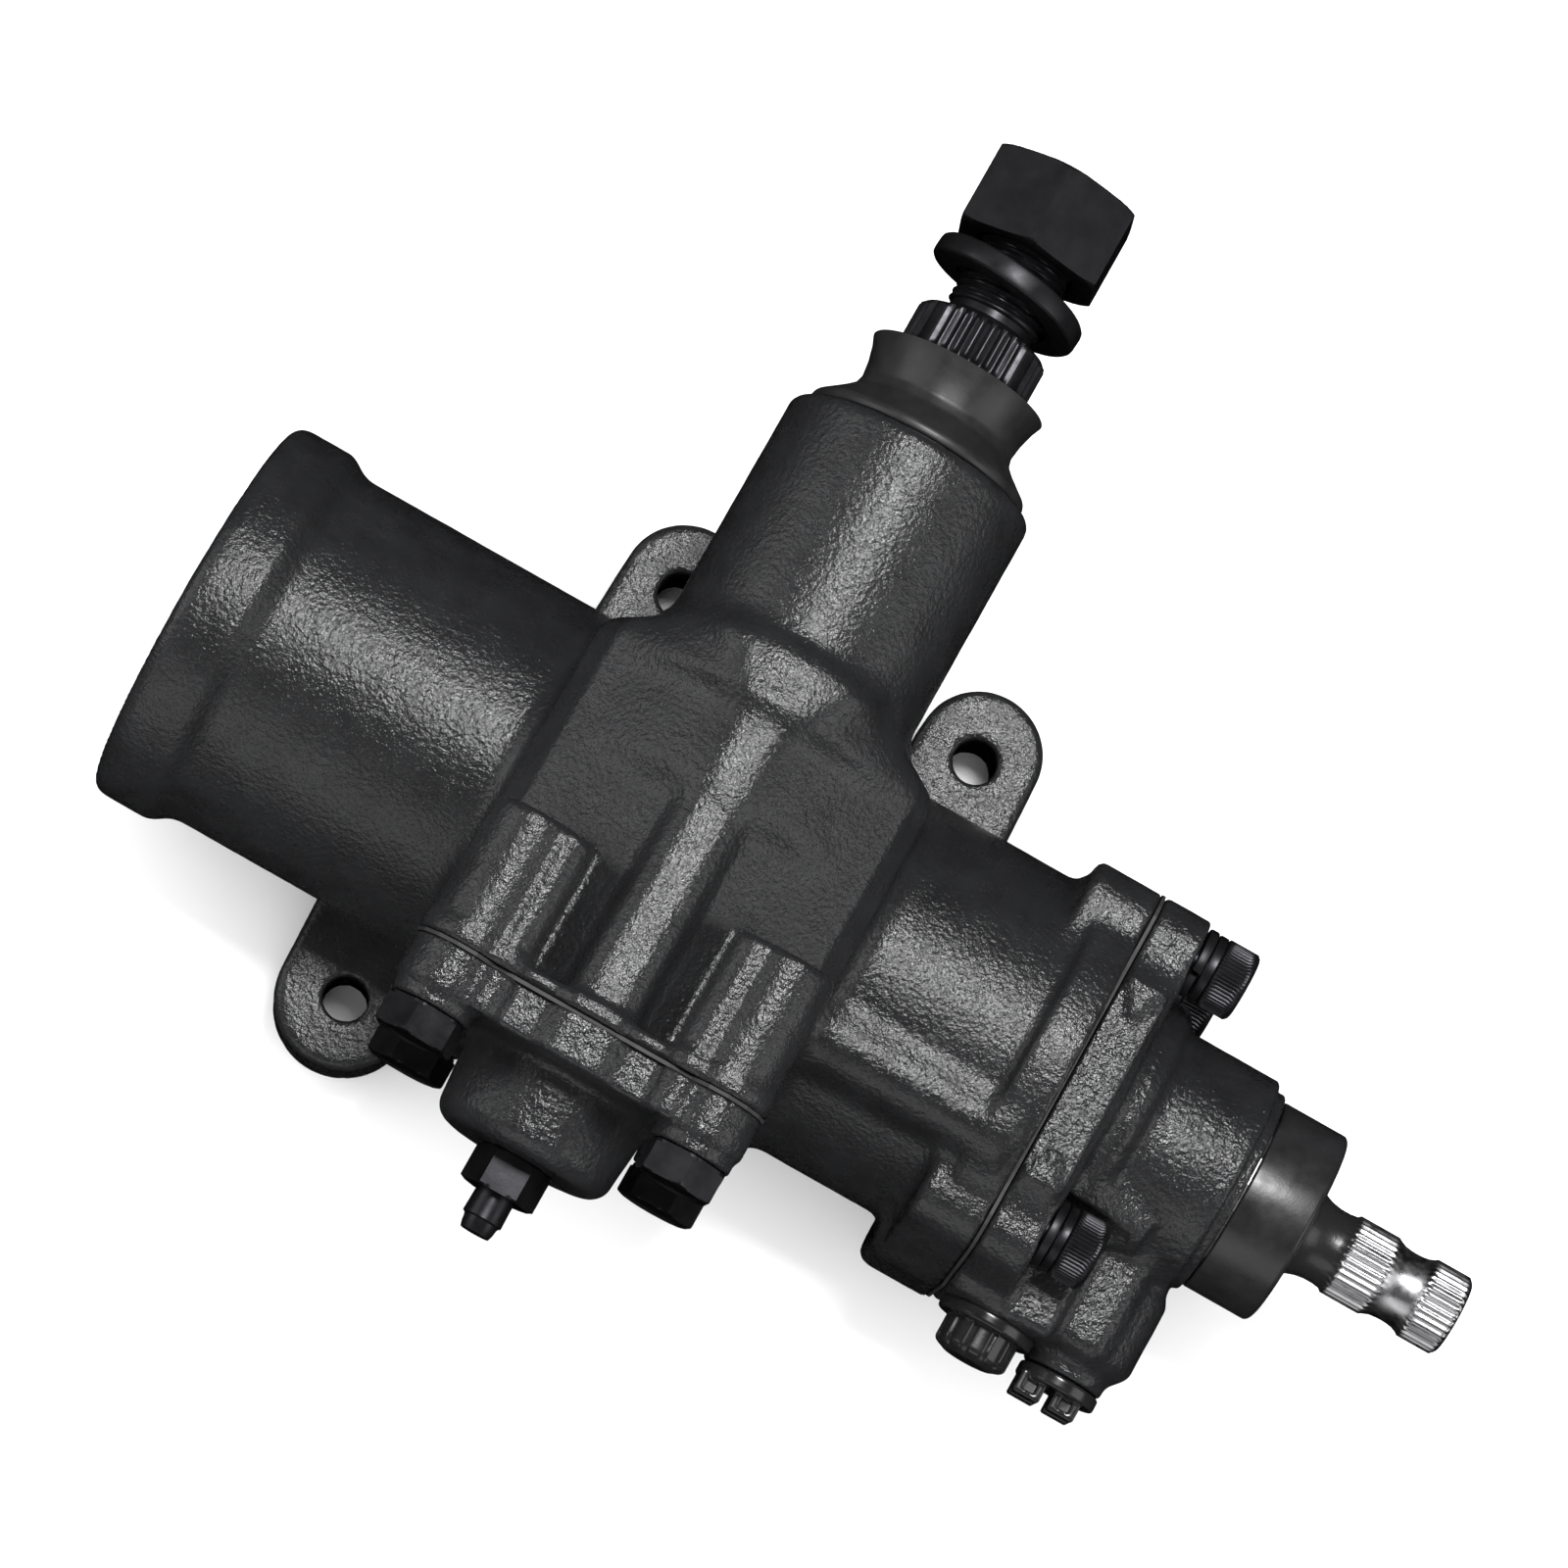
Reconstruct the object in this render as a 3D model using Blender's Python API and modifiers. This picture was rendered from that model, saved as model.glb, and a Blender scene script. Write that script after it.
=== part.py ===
"""Recirculating-ball power steering gearbox, modelled as the assembly it is on the bench.

Lengths are written in millimetres and scaled by MM. Inside the assembly, X runs along the worm axis with 0
where the sector shaft crosses it, Y runs along the sector shaft with 0 at the worm axis, and Z is the
height above the three mounting pads. The parent empty moves all of it so that the origin lies at the
middle of the plan, on the plane of the pads.
"""

import math

import bmesh
import bpy
from mathutils import Matrix, Vector

MM = 0.001
OBJECT = "steering_gearbox"
CLEARANCE = 0.3

# Axes: the worm lies low in the barrel, and the sector shaft crosses above it
WORM_Z = 48.0
CENTRE_DISTANCE = 50.0
SECTOR_Z = WORM_Z + CENTRE_DISTANCE

# Overall limits of the assembly, from which the origin is placed
BARREL_START = -125.0
INPUT_TIP = 201.6
ADJUSTER_TIP = -97.0
NUT_TOP = 171.3

# Gear train: ball screw, rack and three-tooth sector
LEAD = 12.7
BALL_CIRCLE = 12.0
BALL_RADIUS = 3.572
BALL_COUNT = 12
BALL_TURNS = 2
GROOVE_RADIUS = 4.2
WORM_LAND = 11.2
NUT_BORE = 13.0
SECTOR_PITCH = 26.0
SECTOR_TEETH_FULL_CIRCLE = 12
SECTOR_TEETH = 3
PRESSURE_ANGLE = math.radians(25)
MODULE = 2 * SECTOR_PITCH / SECTOR_TEETH_FULL_CIRCLE
ADDENDUM = 4.2
DEDENDUM = 5.0
BACKLASH = 0.6
SECTOR_HALF_FACE = 19.0

# Barrel and its bore
BARREL_RADIUS = 44.0
BAND_RADIUS = 47.0
BAND_END = -109.0
BORE_RADIUS = 38.5
BORE_END = 64.0
VALVE_BORE_RADIUS = 33.5
RING_GROOVE_RADIUS = 42.5
PLUG_SEAT_RADIUS = 40.5
PLUG_SEAT_END = BARREL_START + 15.5
RING_GROOVE = (BARREL_START + 3.4, BARREL_START + 6.6)
HOUSING_FACE_X = 96.0
FLANGE_START_X = 78.5
OIL_PASSAGE = (0, -19.5, WORM_Z + 35.6)

# Sector chamber block, pitman tube and side cover
BLOCK_HALF_WIDTH = 41.5
BLOCK_TOP = 38.5
COVER_FACE_Y = -48.3
BLOCK_FRONT = 32.0
RIDGE_HALF_WIDTH = 9.0
CHAMBER_RADIUS = 32.5
CHAMBER_FRONT_RADIUS = 26.0
CHAMBER_TOP = 22.0
TUBE_RADIUS = 29.9
TUBE_END = 99.4
TUBE_BORE = 19.3
SHAFT_RADIUS = 15.88
THREAD_RADIUS = 11.1
GASKET = 0.8
COVER_PLATE = 9.8
COVER_DOME_RADIUS = 21.8
COVER_DOME_END = -78.6
COVER_BOLT_X = 31.7
COVER_BOLT_Z = 29.0
COVER_BOSS_RADIUS = 9.6
COVER_CORNER_RADIUS = 10.6
TAP_ENDS = {1: -27.5, -1: -38.0}

# Mounting lugs: the centre of each hole, then how far its round end lies beyond it and the end's radius
LUGS = {"upper_right": (46.6, 62.7), "upper_left": (-32.0, 62.7), "lower_left": (-52.6, -57.4)}
LUG_ENDS = {"upper_right": (2.3, 15.0), "upper_left": (2.3, 15.0), "lower_left": (0.0, 16.5)}
LUG_THICKNESS = 20.0
LUG_HOLE = 5.25

# Valve housing, its bolts, its ports and how far the return cap's tabs lie off its centre
VALVE_BOLT_Y = (37.4, -31.9)
VALVE_BOLT_Z = 25.0
VALVE_FACE_X = HOUSING_FACE_X + GASKET + 2 * CLEARANCE
VALVE_FLANGE_END = 109.4
SPOT_FACE_X = VALVE_FLANGE_END - 0.4
VALVE_RADIUS = 27.0
VALVE_LIP_RADIUS = 25.0
VALVE_BODY_END = 141.3
VALVE_END = 144.0
VALVE_CAVITY = 22.2
PORTS = {
    "pressure": {"x": 109.6, "z": 50.0, "face": -51.8, "bore": 8.0, "flange": 11.7},
    "return": {"x": 130.6, "z": 44.0, "face": -55.7, "bore": 7.0, "flange": 9.9},
}

TAB_OFFSET = 1.2

FINE = 32
ROUND = 20
SMALL = 12
TURN = {"X": (0, math.pi / 2, 0), "Y": (-math.pi / 2, 0, 0), "Z": (0, 0, 0)}
LAY = {"X": (math.pi / 2, 0, math.pi / 2), "Y": (math.pi / 2, 0, 0), "Z": (0, 0, 0)}
WORM_AXIS = (0, 0, WORM_Z)
SECTOR_AXIS = (0, 0, SECTOR_Z)


def clear_scene():
    for obj in list(bpy.data.objects):
        bpy.data.objects.remove(obj)


def new_collection(name, hidden):
    made = bpy.data.collections.new(name)
    bpy.context.scene.collection.children.link(made)
    made.hide_render = hidden
    return made


def new_root():
    root = bpy.data.objects.new("gearbox_frame", None)
    middle_x = (BARREL_START + INPUT_TIP) / 2
    middle_y = (ADJUSTER_TIP + NUT_TOP) / 2
    root.location = (-middle_x * MM, -middle_y * MM, 0)
    PARTS.objects.link(root)
    return root


def new_material(name, colour, roughness, metallic):
    made = bpy.data.materials.new(name)
    made.use_nodes = True
    shader = made.node_tree.nodes["Principled BSDF"]
    shader.inputs["Base Color"].default_value = (*colour, 1)
    shader.inputs["Roughness"].default_value = roughness
    shader.inputs["Metallic"].default_value = metallic
    return made


# ---------------------------------------------------------------- making shapes


def placed(name, mesh, axis, at, turn=TURN):
    """A helper object on an axis, with `at` the point of that axis where its stations start."""
    obj = bpy.data.objects.new(name, mesh)
    obj.location = Vector(at) * MM
    obj.rotation_euler = turn[axis]
    obj.parent = ROOT
    TOOLS.objects.link(obj)
    obj.hide_render = True
    obj.display_type = "WIRE"
    return obj


def rod(name, axis, at, start, end, radius, sides=ROUND, end_radius=None, spin=0.0):
    """A cylinder, or a cone with end_radius, between two stations of an axis."""
    bm = bmesh.new()
    matrix = Matrix.Translation((0, 0, (start + end) / 2 * MM)) @ Matrix.Rotation(spin, 4, "Z")
    last = radius if end_radius is None else end_radius
    bmesh.ops.create_cone(
        bm,
        cap_ends=True,
        segments=sides,
        radius1=radius * MM,
        radius2=last * MM,
        depth=(end - start) * MM,
        matrix=matrix,
    )
    mesh = bpy.data.meshes.new(name)
    bm.to_mesh(mesh)
    bm.free()
    return placed(name, mesh, axis, at)


def box(name, low, high):
    bm = bmesh.new()
    size = [(b - a) * MM for a, b in zip(low, high)]
    middle = [(a + b) / 2 * MM for a, b in zip(low, high)]
    bmesh.ops.create_cube(bm, size=1, matrix=Matrix.Translation(middle) @ Matrix.Diagonal((*size, 1)))
    mesh = bpy.data.meshes.new(name)
    bm.to_mesh(mesh)
    bm.free()
    return placed(name, mesh, "Z", (0, 0, 0))


def turned(name, axis, at, profile, sides=ROUND, ring=False):
    """A turned piece. The profile's (radius, station) points run down its outer side, and back up a bore."""
    mesh = bpy.data.meshes.new(name)
    points = [(radius * MM, 0, station * MM) for radius, station in profile]
    edges = [(i, i + 1) for i in range(len(points) - 1)]
    if ring:
        edges.append((len(points) - 1, 0))
    mesh.from_pydata(points, edges, [])
    obj = placed(name, mesh, axis, at)
    screw = obj.modifiers.new("turn", "SCREW")
    screw.axis = "Z"
    screw.steps = sides
    screw.render_steps = sides
    screw.use_merge_vertices = True
    screw.merge_threshold = 0.00001
    return obj


def sleeve(name, axis, at, start, end, outer, inner, sides=ROUND):
    profile = [(outer, end), (outer, start), (inner, start), (inner, end)]
    return turned(name, axis, at, profile, sides, ring=True)


def meshed(curve_obj):
    """The curve as a closed mesh object in its place."""
    bpy.context.view_layer.update()
    graph = bpy.context.evaluated_depsgraph_get()
    mesh = bpy.data.meshes.new_from_object(curve_obj.evaluated_get(graph))
    bm = bmesh.new()
    bm.from_mesh(mesh)
    bmesh.ops.remove_doubles(bm, verts=bm.verts, dist=0.000001)
    bmesh.ops.recalc_face_normals(bm, faces=bm.faces)
    bm.to_mesh(mesh)
    bm.free()
    made = placed(curve_obj.name + "_mesh", mesh, "Z", (0, 0, 0))
    made.location = curve_obj.location
    made.rotation_euler = curve_obj.rotation_euler
    bpy.data.objects.remove(curve_obj)
    return made


def prism(name, axis, outline, start, end):
    """A flat outline extruded along an axis: (x, z) points along Y, (y, z) along X, (x, y) along Z."""
    curve = bpy.data.curves.new(name, "CURVE")
    curve.dimensions = "2D"
    curve.fill_mode = "BOTH"
    curve.extrude = (end - start) / 2 * MM
    spline = curve.splines.new("POLY")
    spline.points.add(len(outline) - 1)
    for point, (u, v) in zip(spline.points, outline):
        point.co = (u * MM, v * MM, 0, 1)
    spline.use_cyclic_u = True
    middle = (start + end) / 2
    at = {"X": (middle, 0, 0), "Y": (0, middle, 0), "Z": (0, 0, middle)}[axis]
    return meshed(placed(name, curve, axis, at, LAY))


def wire(name, points, radius, resolution=2):
    """A round bar along open points."""
    curve = bpy.data.curves.new(name, "CURVE")
    curve.dimensions = "3D"
    curve.bevel_depth = radius * MM
    curve.bevel_resolution = resolution
    curve.use_fill_caps = True
    spline = curve.splines.new("POLY")
    spline.points.add(len(points) - 1)
    for point, where in zip(spline.points, points):
        point.co = (*(Vector(where) * MM), 1)
    return meshed(placed(name, curve, "Z", (0, 0, 0)))


def boolean(obj, operation, tools):
    for tool in tools:
        step = obj.modifiers.new(operation.lower() + "_" + tool.name, "BOOLEAN")
        step.operation = operation
        step.object = tool
    return obj


def join(obj, *tools):
    return boolean(obj, "UNION", tools)


def cut(obj, *tools):
    return boolean(obj, "DIFFERENCE", tools)


def part(obj, name, material, smooth=True):
    """Makes a helper into one of the object's parts."""
    obj.name = name
    obj.data.name = name
    obj.data.materials.append(material)
    TOOLS.objects.unlink(obj)
    PARTS.objects.link(obj)
    obj.hide_render = False
    obj.display_type = "TEXTURED"
    if smooth and obj.data.polygons:
        obj.data.shade_smooth()
        obj.data.set_sharp_from_angle(angle=math.radians(35))
    return obj


def arc(centre, radius, start, end, steps):
    """Points of an arc, its angles in degrees."""
    angles = [math.radians(start + (end - start) * i / steps) for i in range(steps + 1)]
    return [(centre[0] + radius * math.cos(a), centre[1] + radius * math.sin(a)) for a in angles]


def rounded(corners, steps=5):
    """A convex outline round its corner circles, each (u, v, radius), listed anticlockwise."""
    outline = []
    for i, (u, v, radius) in enumerate(corners):
        before = corners[i - 1]
        after = corners[(i + 1) % len(corners)]
        start = tangent_angle(before, (u, v, radius))
        end = tangent_angle((u, v, radius), after)
        if end < start:
            end += 360
        outline += arc((u, v), radius, start, end, steps)
    return outline


def tangent_angle(first, second):
    """The direction, in degrees, of the outward normal where one corner circle's tangent runs to the next."""
    across = math.hypot(second[0] - first[0], second[1] - first[1])
    along = math.atan2(second[1] - first[1], second[0] - first[0])
    return math.degrees(along - math.acos((first[2] - second[2]) / across))


# ---------------------------------------------------------------- the ball screw


def helix(start, end, per_turn=18):
    """Centre line of the ball groove, which passes the bottom of the worm at X = 0."""
    count = round((end - start) / LEAD * per_turn)
    stations = [start + (end - start) * i / count for i in range(count + 1)]
    return [on_helix(x) for x in stations]


def on_helix(x):
    angle = 2 * math.pi * x / LEAD - math.pi / 2
    return (x, BALL_CIRCLE * math.cos(angle), WORM_Z + BALL_CIRCLE * math.sin(angle))


def make_balls():
    span = BALL_TURNS * LEAD
    for i in range(BALL_COUNT):
        x = -span / 2 + span * (i + 0.5) / BALL_COUNT
        bm = bmesh.new()
        bmesh.ops.create_icosphere(bm, subdivisions=2, radius=BALL_RADIUS * MM)
        mesh = bpy.data.meshes.new("ball")
        bm.to_mesh(mesh)
        bm.free()
        ball = placed("ball", mesh, "Z", on_helix(x))
        part(ball, f"recirculating_ball_{i + 1:02d}", STEEL)


def make_worm():
    """Worm with its thrust flange, a bore for the torsion bar and a slot for the input shaft's tang."""
    flange_start = 92.7
    flange_end = 98.0
    profile = [
        (20.5, flange_end),
        (20.5, flange_start),
        (WORM_LAND, flange_start),
        (WORM_LAND, -41.0),
        (WORM_LAND - 2, -43.0),
        (0, -43.0),
    ]
    worm = turned("worm", "X", WORM_AXIS, [(0, flange_end), *profile])
    groove = wire("worm_groove", helix(-36.5, 36.5), GROOVE_RADIUS)
    bore = rod("torsion_bar_bore", "X", WORM_AXIS, 30.0, 99.0, 3.4, SMALL)
    slot = box("tang_slot", (92.0, -8.0, WORM_Z - 5.0), (99.0, 8.0, WORM_Z + 5.0))
    part(cut(worm, groove, bore, slot), "worm_shaft", STEEL)


def make_torsion_bar():
    profile = [(0, 196.0), (3.0, 196.0), (3.0, 186.0), (2.2, 182.0)]
    profile += [(2.2, 46.0), (3.0, 42.0), (3.0, 31.0), (0, 31.0)]
    part(turned("bar", "X", WORM_AXIS, profile, SMALL), "torsion_bar", STEEL)


def make_valve_sleeve():
    """Rotary valve sleeve with three seal ring grooves and its oil grooves between them."""
    outer = 21.6
    start = 98.4
    end = 136.0
    profile = [(outer, end)]
    for middle in (130.0, 117.2, 104.4):
        root = outer - 2.0
        profile += [(outer, middle + 1.8), (root, middle + 1.8), (root, middle - 1.8), (outer, middle - 1.8)]
    profile += [(outer, start), (12.6, start), (12.6, end)]
    part(turned("sleeve", "X", WORM_AXIS, profile, ring=True), "rotary_valve_sleeve", STEEL)


def splined(name, axis, at, start, end, outer, root, teeth, blind=()):
    """A serrated bar. A tooth number in blind has no groove after it."""
    outline = []
    for i in range(2 * teeth):
        angle = math.pi * i / teeth
        radius = root if i % 2 and i // 2 not in blind else outer
        outline.append((radius * math.cos(angle), radius * math.sin(angle)))
    bar = prism(name, "Z", outline, start, end)
    holder = placed(name + "_bar", bar.data, axis, at)
    for vertex in holder.data.vertices:
        vertex.co.z += (start + end) / 2 * MM
    bpy.data.objects.remove(bar)
    return holder


def make_stub_shaft():
    """Input shaft: tang, valve spool, needle bearing journal and two serrated lengths with a groove between."""
    tip = INPUT_TIP
    profile = [
        (0, tip),
        (8.7, tip),
        (9.2, tip - 1.0),
        (9.2, 191.8),
        (8.6, 190.0),
        (8.6, 184.8),
        (9.2, 182.0),
        (9.2, 172.2),
        (8.9, 170.0),
        (8.9, 166.6),
        (10.8, 162.4),
        (9.8, 160.0),
        (9.8, 138.0),
        (12.2, 137.0),
        (12.2, 101.0),
        (0, 101.0),
    ]
    shaft = turned("stub", "X", WORM_AXIS, profile)
    tang = box("tang", (93.5, -7.2, WORM_Z - 4.1), (103.0, 7.2, WORM_Z + 4.1))
    near = splined("near_serration", "X", WORM_AXIS, 172.4, 182.0, 9.85, 9.3, 36)
    far = splined("far_serration", "X", WORM_AXIS, 192.0, tip - 0.8, 9.85, 9.3, 36)
    bore = rod("stub_bore", "X", WORM_AXIS, 90.0, 197.0, 3.3, SMALL)
    part(cut(join(shaft, tang, near, far), bore), "input_stub_shaft", BRIGHT)


# ---------------------------------------------------------------- rack and sector


def involute_half_angle(radius):
    """Half the angular thickness of a sector tooth at a radius."""
    base = SECTOR_PITCH * math.cos(PRESSURE_ANGLE)
    at_pitch = math.pi / 2 / SECTOR_TEETH_FULL_CIRCLE
    spread = math.tan(PRESSURE_ANGLE) - PRESSURE_ANGLE
    if radius <= base:
        return at_pitch + spread
    angle = math.acos(base / radius)
    return at_pitch + spread - (math.tan(angle) - angle)


def sector_outline():
    """Hub circle with three involute teeth on its lower side, anticlockwise in X and Z."""
    root = SECTOR_PITCH - DEDENDUM
    tip = SECTOR_PITCH + ADDENDUM
    heights = [root + (tip - root) * i / 5 for i in range(6)]
    outline = []
    pitch = 2 * math.pi / SECTOR_TEETH_FULL_CIRCLE
    down = -math.pi / 2
    for i in range(SECTOR_TEETH):
        middle = down + (i - (SECTOR_TEETH - 1) / 2) * pitch
        rising = [(r, middle - involute_half_angle(r)) for r in heights]
        falling = [(r, middle + involute_half_angle(r)) for r in reversed(heights)]
        outline += [(r * math.cos(a), SECTOR_Z + r * math.sin(a)) for r, a in rising + falling]
    first = math.degrees(down + (SECTOR_TEETH - 1) / 2 * pitch + involute_half_angle(root))
    last = math.degrees(down - (SECTOR_TEETH - 1) / 2 * pitch - involute_half_angle(root)) + 360
    outline += arc((0, SECTOR_Z), root, first, last, 20)[1:-1]
    return outline


def rack_space(middle):
    """Outline in X and Z of the space between two rack teeth, carried on above their tips."""
    pitch_z = WORM_Z + CENTRE_DISTANCE - SECTOR_PITCH
    half = math.pi * MODULE / 4 + BACKLASH / 2
    low = -DEDENDUM
    high = ADDENDUM + 2
    slope = math.tan(PRESSURE_ANGLE)
    return [
        (middle - half - high * slope, pitch_z + high),
        (middle - half - low * slope, pitch_z + low),
        (middle + half + low * slope, pitch_z + low),
        (middle + half + high * slope, pitch_z + high),
    ]


def make_rack_piston():
    """Rack, piston and ball nut in one: piston head at the end-plug side, rack on top, ball groove inside."""
    head = 38.1
    body = 37.4
    head_start = -78.0
    head_end = -56.0
    nut_end = 42.0
    ring_start = -71.5
    ring_end = -66.0
    profile = [
        (0, nut_end),
        (body - 2, nut_end),
        (body, nut_end - 2),
        (body, head_end),
        (head, head_end),
        (head, ring_end),
        (head - 3, ring_end),
        (head - 3, ring_start),
        (head, ring_start),
        (head, head_start),
        (0, head_start),
    ]
    piston = turned("piston", "X", WORM_AXIS, profile, FINE)
    tips = SECTOR_Z - SECTOR_PITCH + ADDENDUM
    flat = box("rack_flat", (head_end + 1, -40, tips), (nut_end + 5, 40, WORM_Z + 45))
    spaces = []
    for i in range(SECTOR_TEETH):
        middle = (i - (SECTOR_TEETH - 1) / 2) * math.pi * MODULE
        spaces.append(prism(f"rack_space_{i}", "Y", rack_space(middle), -40, 40))
    bore = rod("nut_bore", "X", WORM_AXIS, -63.0, nut_end + 2, NUT_BORE)
    counterbore = rod("plug_bore", "X", WORM_AXIS, head_start - 2, -62.0, 16.0)
    span = BALL_TURNS * LEAD
    groove = wire("nut_groove", helix(-span / 2 - 1, span / 2 + 1), GROOVE_RADIUS)
    pocket = box("return_pocket", (-24, -11.5, WORM_Z - 45), (24, 11.5, WORM_Z - 23))
    legs = [
        rod(f"return_hole_{side}", "Z", (side * span / 2, 0, WORM_Z), -30, -10, 4.7, SMALL)
        for side in (-1, 1)
    ]
    screw_hole = rod("clamp_screw_hole", "Z", (0, 7.6, WORM_Z), -30, -17.5, 2.3, 12)
    cut(piston, flat, *spaces, bore, counterbore, groove, pocket, *legs, screw_hole)
    part(piston, "rack_piston", STEEL)

    ring = sleeve("ring", "X", WORM_AXIS, ring_start + 0.3, ring_end - 0.3, 38.2, head - 2.6, FINE)
    part(ring, "piston_ring", SEAL)
    plug = rod("plug", "X", WORM_AXIS, head_start + 0.5, -66.5, 15.6)
    socket = box("plug_socket", (head_start - 1, -6.35, WORM_Z - 6.35), (-72.0, 6.35, WORM_Z + 6.35))
    part(cut(plug, socket), "piston_end_plug", STEEL)


def make_ball_return():
    """Return guide over two turns of the nut, its clamp and the clamp's screw."""
    reach = BALL_TURNS * LEAD / 2
    top = WORM_Z - 16.8
    bottom = WORM_Z - 28.4
    bend = 5.0
    route = [(-reach, 0, top), (-reach, 0, bottom + bend)]
    route += [(x, 0, z) for x, z in arc((-reach + bend, bottom + bend), bend, 180, 270, 4)[1:]]
    route += [(x, 0, z) for x, z in arc((reach - bend, bottom + bend), bend, 270, 360, 4)]
    route.append((reach, 0, top))
    part(wire("guide", route, 4.2, 3), "ball_return_guide", STEEL)
    under = bottom - 4.5
    low = under - 1.4
    step = 4.7
    high = WORM_Z - 23.3
    outline = [(-5.5, low), (10.5, low), (10.5, high), (step, high), (step, under), (-5.5, under)]
    clamp = prism("clamp", "X", outline, -4.5, 4.5)
    hole = rod("clamp_hole", "Z", (0, 7.6, 0), under - 3, WORM_Z - 20, 2.4, 12)
    part(cut(clamp, hole), "return_guide_clamp", STEEL)
    screw = rod("screw", "Z", (0, 7.6, 0), low - 1.0, WORM_Z - 18.2, 2.0, 12)
    head = rod("screw_head", "Z", (0, 7.6, 0), low - 1.8, low - CLEARANCE, 2.9, 12)
    part(join(screw, head), "guide_clamp_screw", BLACK_STEEL)


def slot_outline(half):
    """A slot in X and Z, open towards -X and round about the sector axis."""
    return [(-20, SECTOR_Z - half), *arc((0, SECTOR_Z), half, -90, 90, 10), (-20, SECTOR_Z + half)]


def make_sector_shaft():
    """Sector and pitman shaft in one, with a T-slot for the lash adjuster and a serrated, threaded end."""
    foot = -71.8
    serration_start = 122.5
    serration_end = 132.5
    profile = [
        (0, 170.6),
        (THREAD_RADIUS - 1.0, 170.6),
        (THREAD_RADIUS, 169.6),
        (THREAD_RADIUS, serration_end - 1),
        (14.4, serration_end - 1),
        (14.4, serration_start - 0.5),
        (SHAFT_RADIUS, serration_start - 2),
        (SHAFT_RADIUS, foot + 1),
        (SHAFT_RADIUS - 1, foot),
        (0, foot),
    ]
    shaft = turned("pitman", "Y", SECTOR_AXIS, profile)
    gear = prism("sector_gear", "Y", sector_outline(), -SECTOR_HALF_FACE, SECTOR_HALF_FACE)
    blind = (4, 13, 22, 31)
    ends = (serration_start, serration_end)
    teeth = splined("pitman_serration", "Y", SECTOR_AXIS, *ends, SHAFT_RADIUS, 14.7, 36, blind)
    neck = prism("adjuster_slot", "Y", slot_outline(5.5), foot - 2, foot + 7.0)
    tee = prism("adjuster_tee", "Y", slot_outline(8.3), foot + 5.8, foot + 11.4)
    part(cut(join(shaft, gear, teeth), neck, tee), "sector_shaft", BLACK_STEEL)


# ---------------------------------------------------------------- gear housing


def make_barrel():
    profile = [
        (0, HOUSING_FACE_X + 1),
        (BARREL_RADIUS, HOUSING_FACE_X + 1),
        (BARREL_RADIUS, BAND_END + 5.5),
        (BARREL_RADIUS + 0.9, BAND_END + 2.5),
        (BAND_RADIUS, BAND_END - 1.5),
        (BAND_RADIUS, BARREL_START + 6.5),
        (BAND_RADIUS - 1.2, BARREL_START + 1.7),
        (BAND_RADIUS - 3.0, BARREL_START),
        (0, BARREL_START),
    ]
    return turned("barrel", "X", WORM_AXIS, profile, FINE)


def block_outline():
    """The sector chamber's front in X and Z: a sloping facet on each side of a flat ridge."""
    front = SECTOR_Z + BLOCK_FRONT
    half = [
        (BLOCK_HALF_WIDTH, 40.0),
        (BLOCK_HALF_WIDTH, SECTOR_Z + 8),
        (BLOCK_HALF_WIDTH - 4.5, SECTOR_Z + 15),
        (RIDGE_HALF_WIDTH + 4, front - 5),
        (RIDGE_HALF_WIDTH, front),
    ]
    return half + [(-x, z) for x, z in reversed(half)]


def bolt_boss(name, at, low, high):
    """A column along Y for a cover bolt, its upper end rounded off by a cone."""
    radius = COVER_BOSS_RADIUS
    profile = [(0, high + 4), (radius - 3.5, high + 4), (radius, high), (radius, low), (0, low)]
    return turned(name, "Y", at, profile, 16)


def cover_outline():
    """Half a circle round each bolt, with a shallow dip between one bolt and the next."""
    outline = []
    for x, z, start in ((1, -1, -135), (1, 1, -45), (-1, 1, 45), (-1, -1, 135)):
        centre = (x * COVER_BOLT_X, SECTOR_Z + z * COVER_BOLT_Z)
        outline += arc(centre, COVER_CORNER_RADIUS, start, start + 180, 7)
    return outline


def flange_outline(bottom):
    """Flange round the barrel's end with a rounded corner at each valve bolt, in Y and Z."""
    high, low = VALVE_BOLT_Y
    corners = [
        (bottom + 9.5, WORM_Z - VALVE_BOLT_Z - 0.5, 9.5),
        (high, WORM_Z - VALVE_BOLT_Z, 9.5),
        (high, WORM_Z + VALVE_BOLT_Z, 9.5),
        (low - 4, WORM_Z + VALVE_BOLT_Z, 9.5),
        (bottom + 9.5, WORM_Z + 4, 9.5),
    ]
    return rounded(corners)


def lug_tools():
    """Each lug is a rounded tongue that reaches back into the barrel, and its bolt hole."""
    tongues = []
    holes = []
    for name, (x, y) in LUGS.items():
        beyond, radius = LUG_ENDS[name]
        towards = -1 if y > 0 else 1
        inner = y + towards * 34
        end = y - towards * beyond
        corners = [(x - 1.5, inner, radius), (x + 1.5, inner, radius), (x, end, radius)]
        if towards > 0:
            corners = [(x, end, radius), (x + 1.5, inner, radius), (x - 1.5, inner, radius)]
        tongues.append(prism("lug_" + name, "Z", rounded(corners, 7), 0, LUG_THICKNESS))
        holes.append(rod("lug_hole_" + name, "Z", (x, y, 0), -5, LUG_THICKNESS + 5, LUG_HOLE, SMALL))
    return tongues, holes


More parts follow.
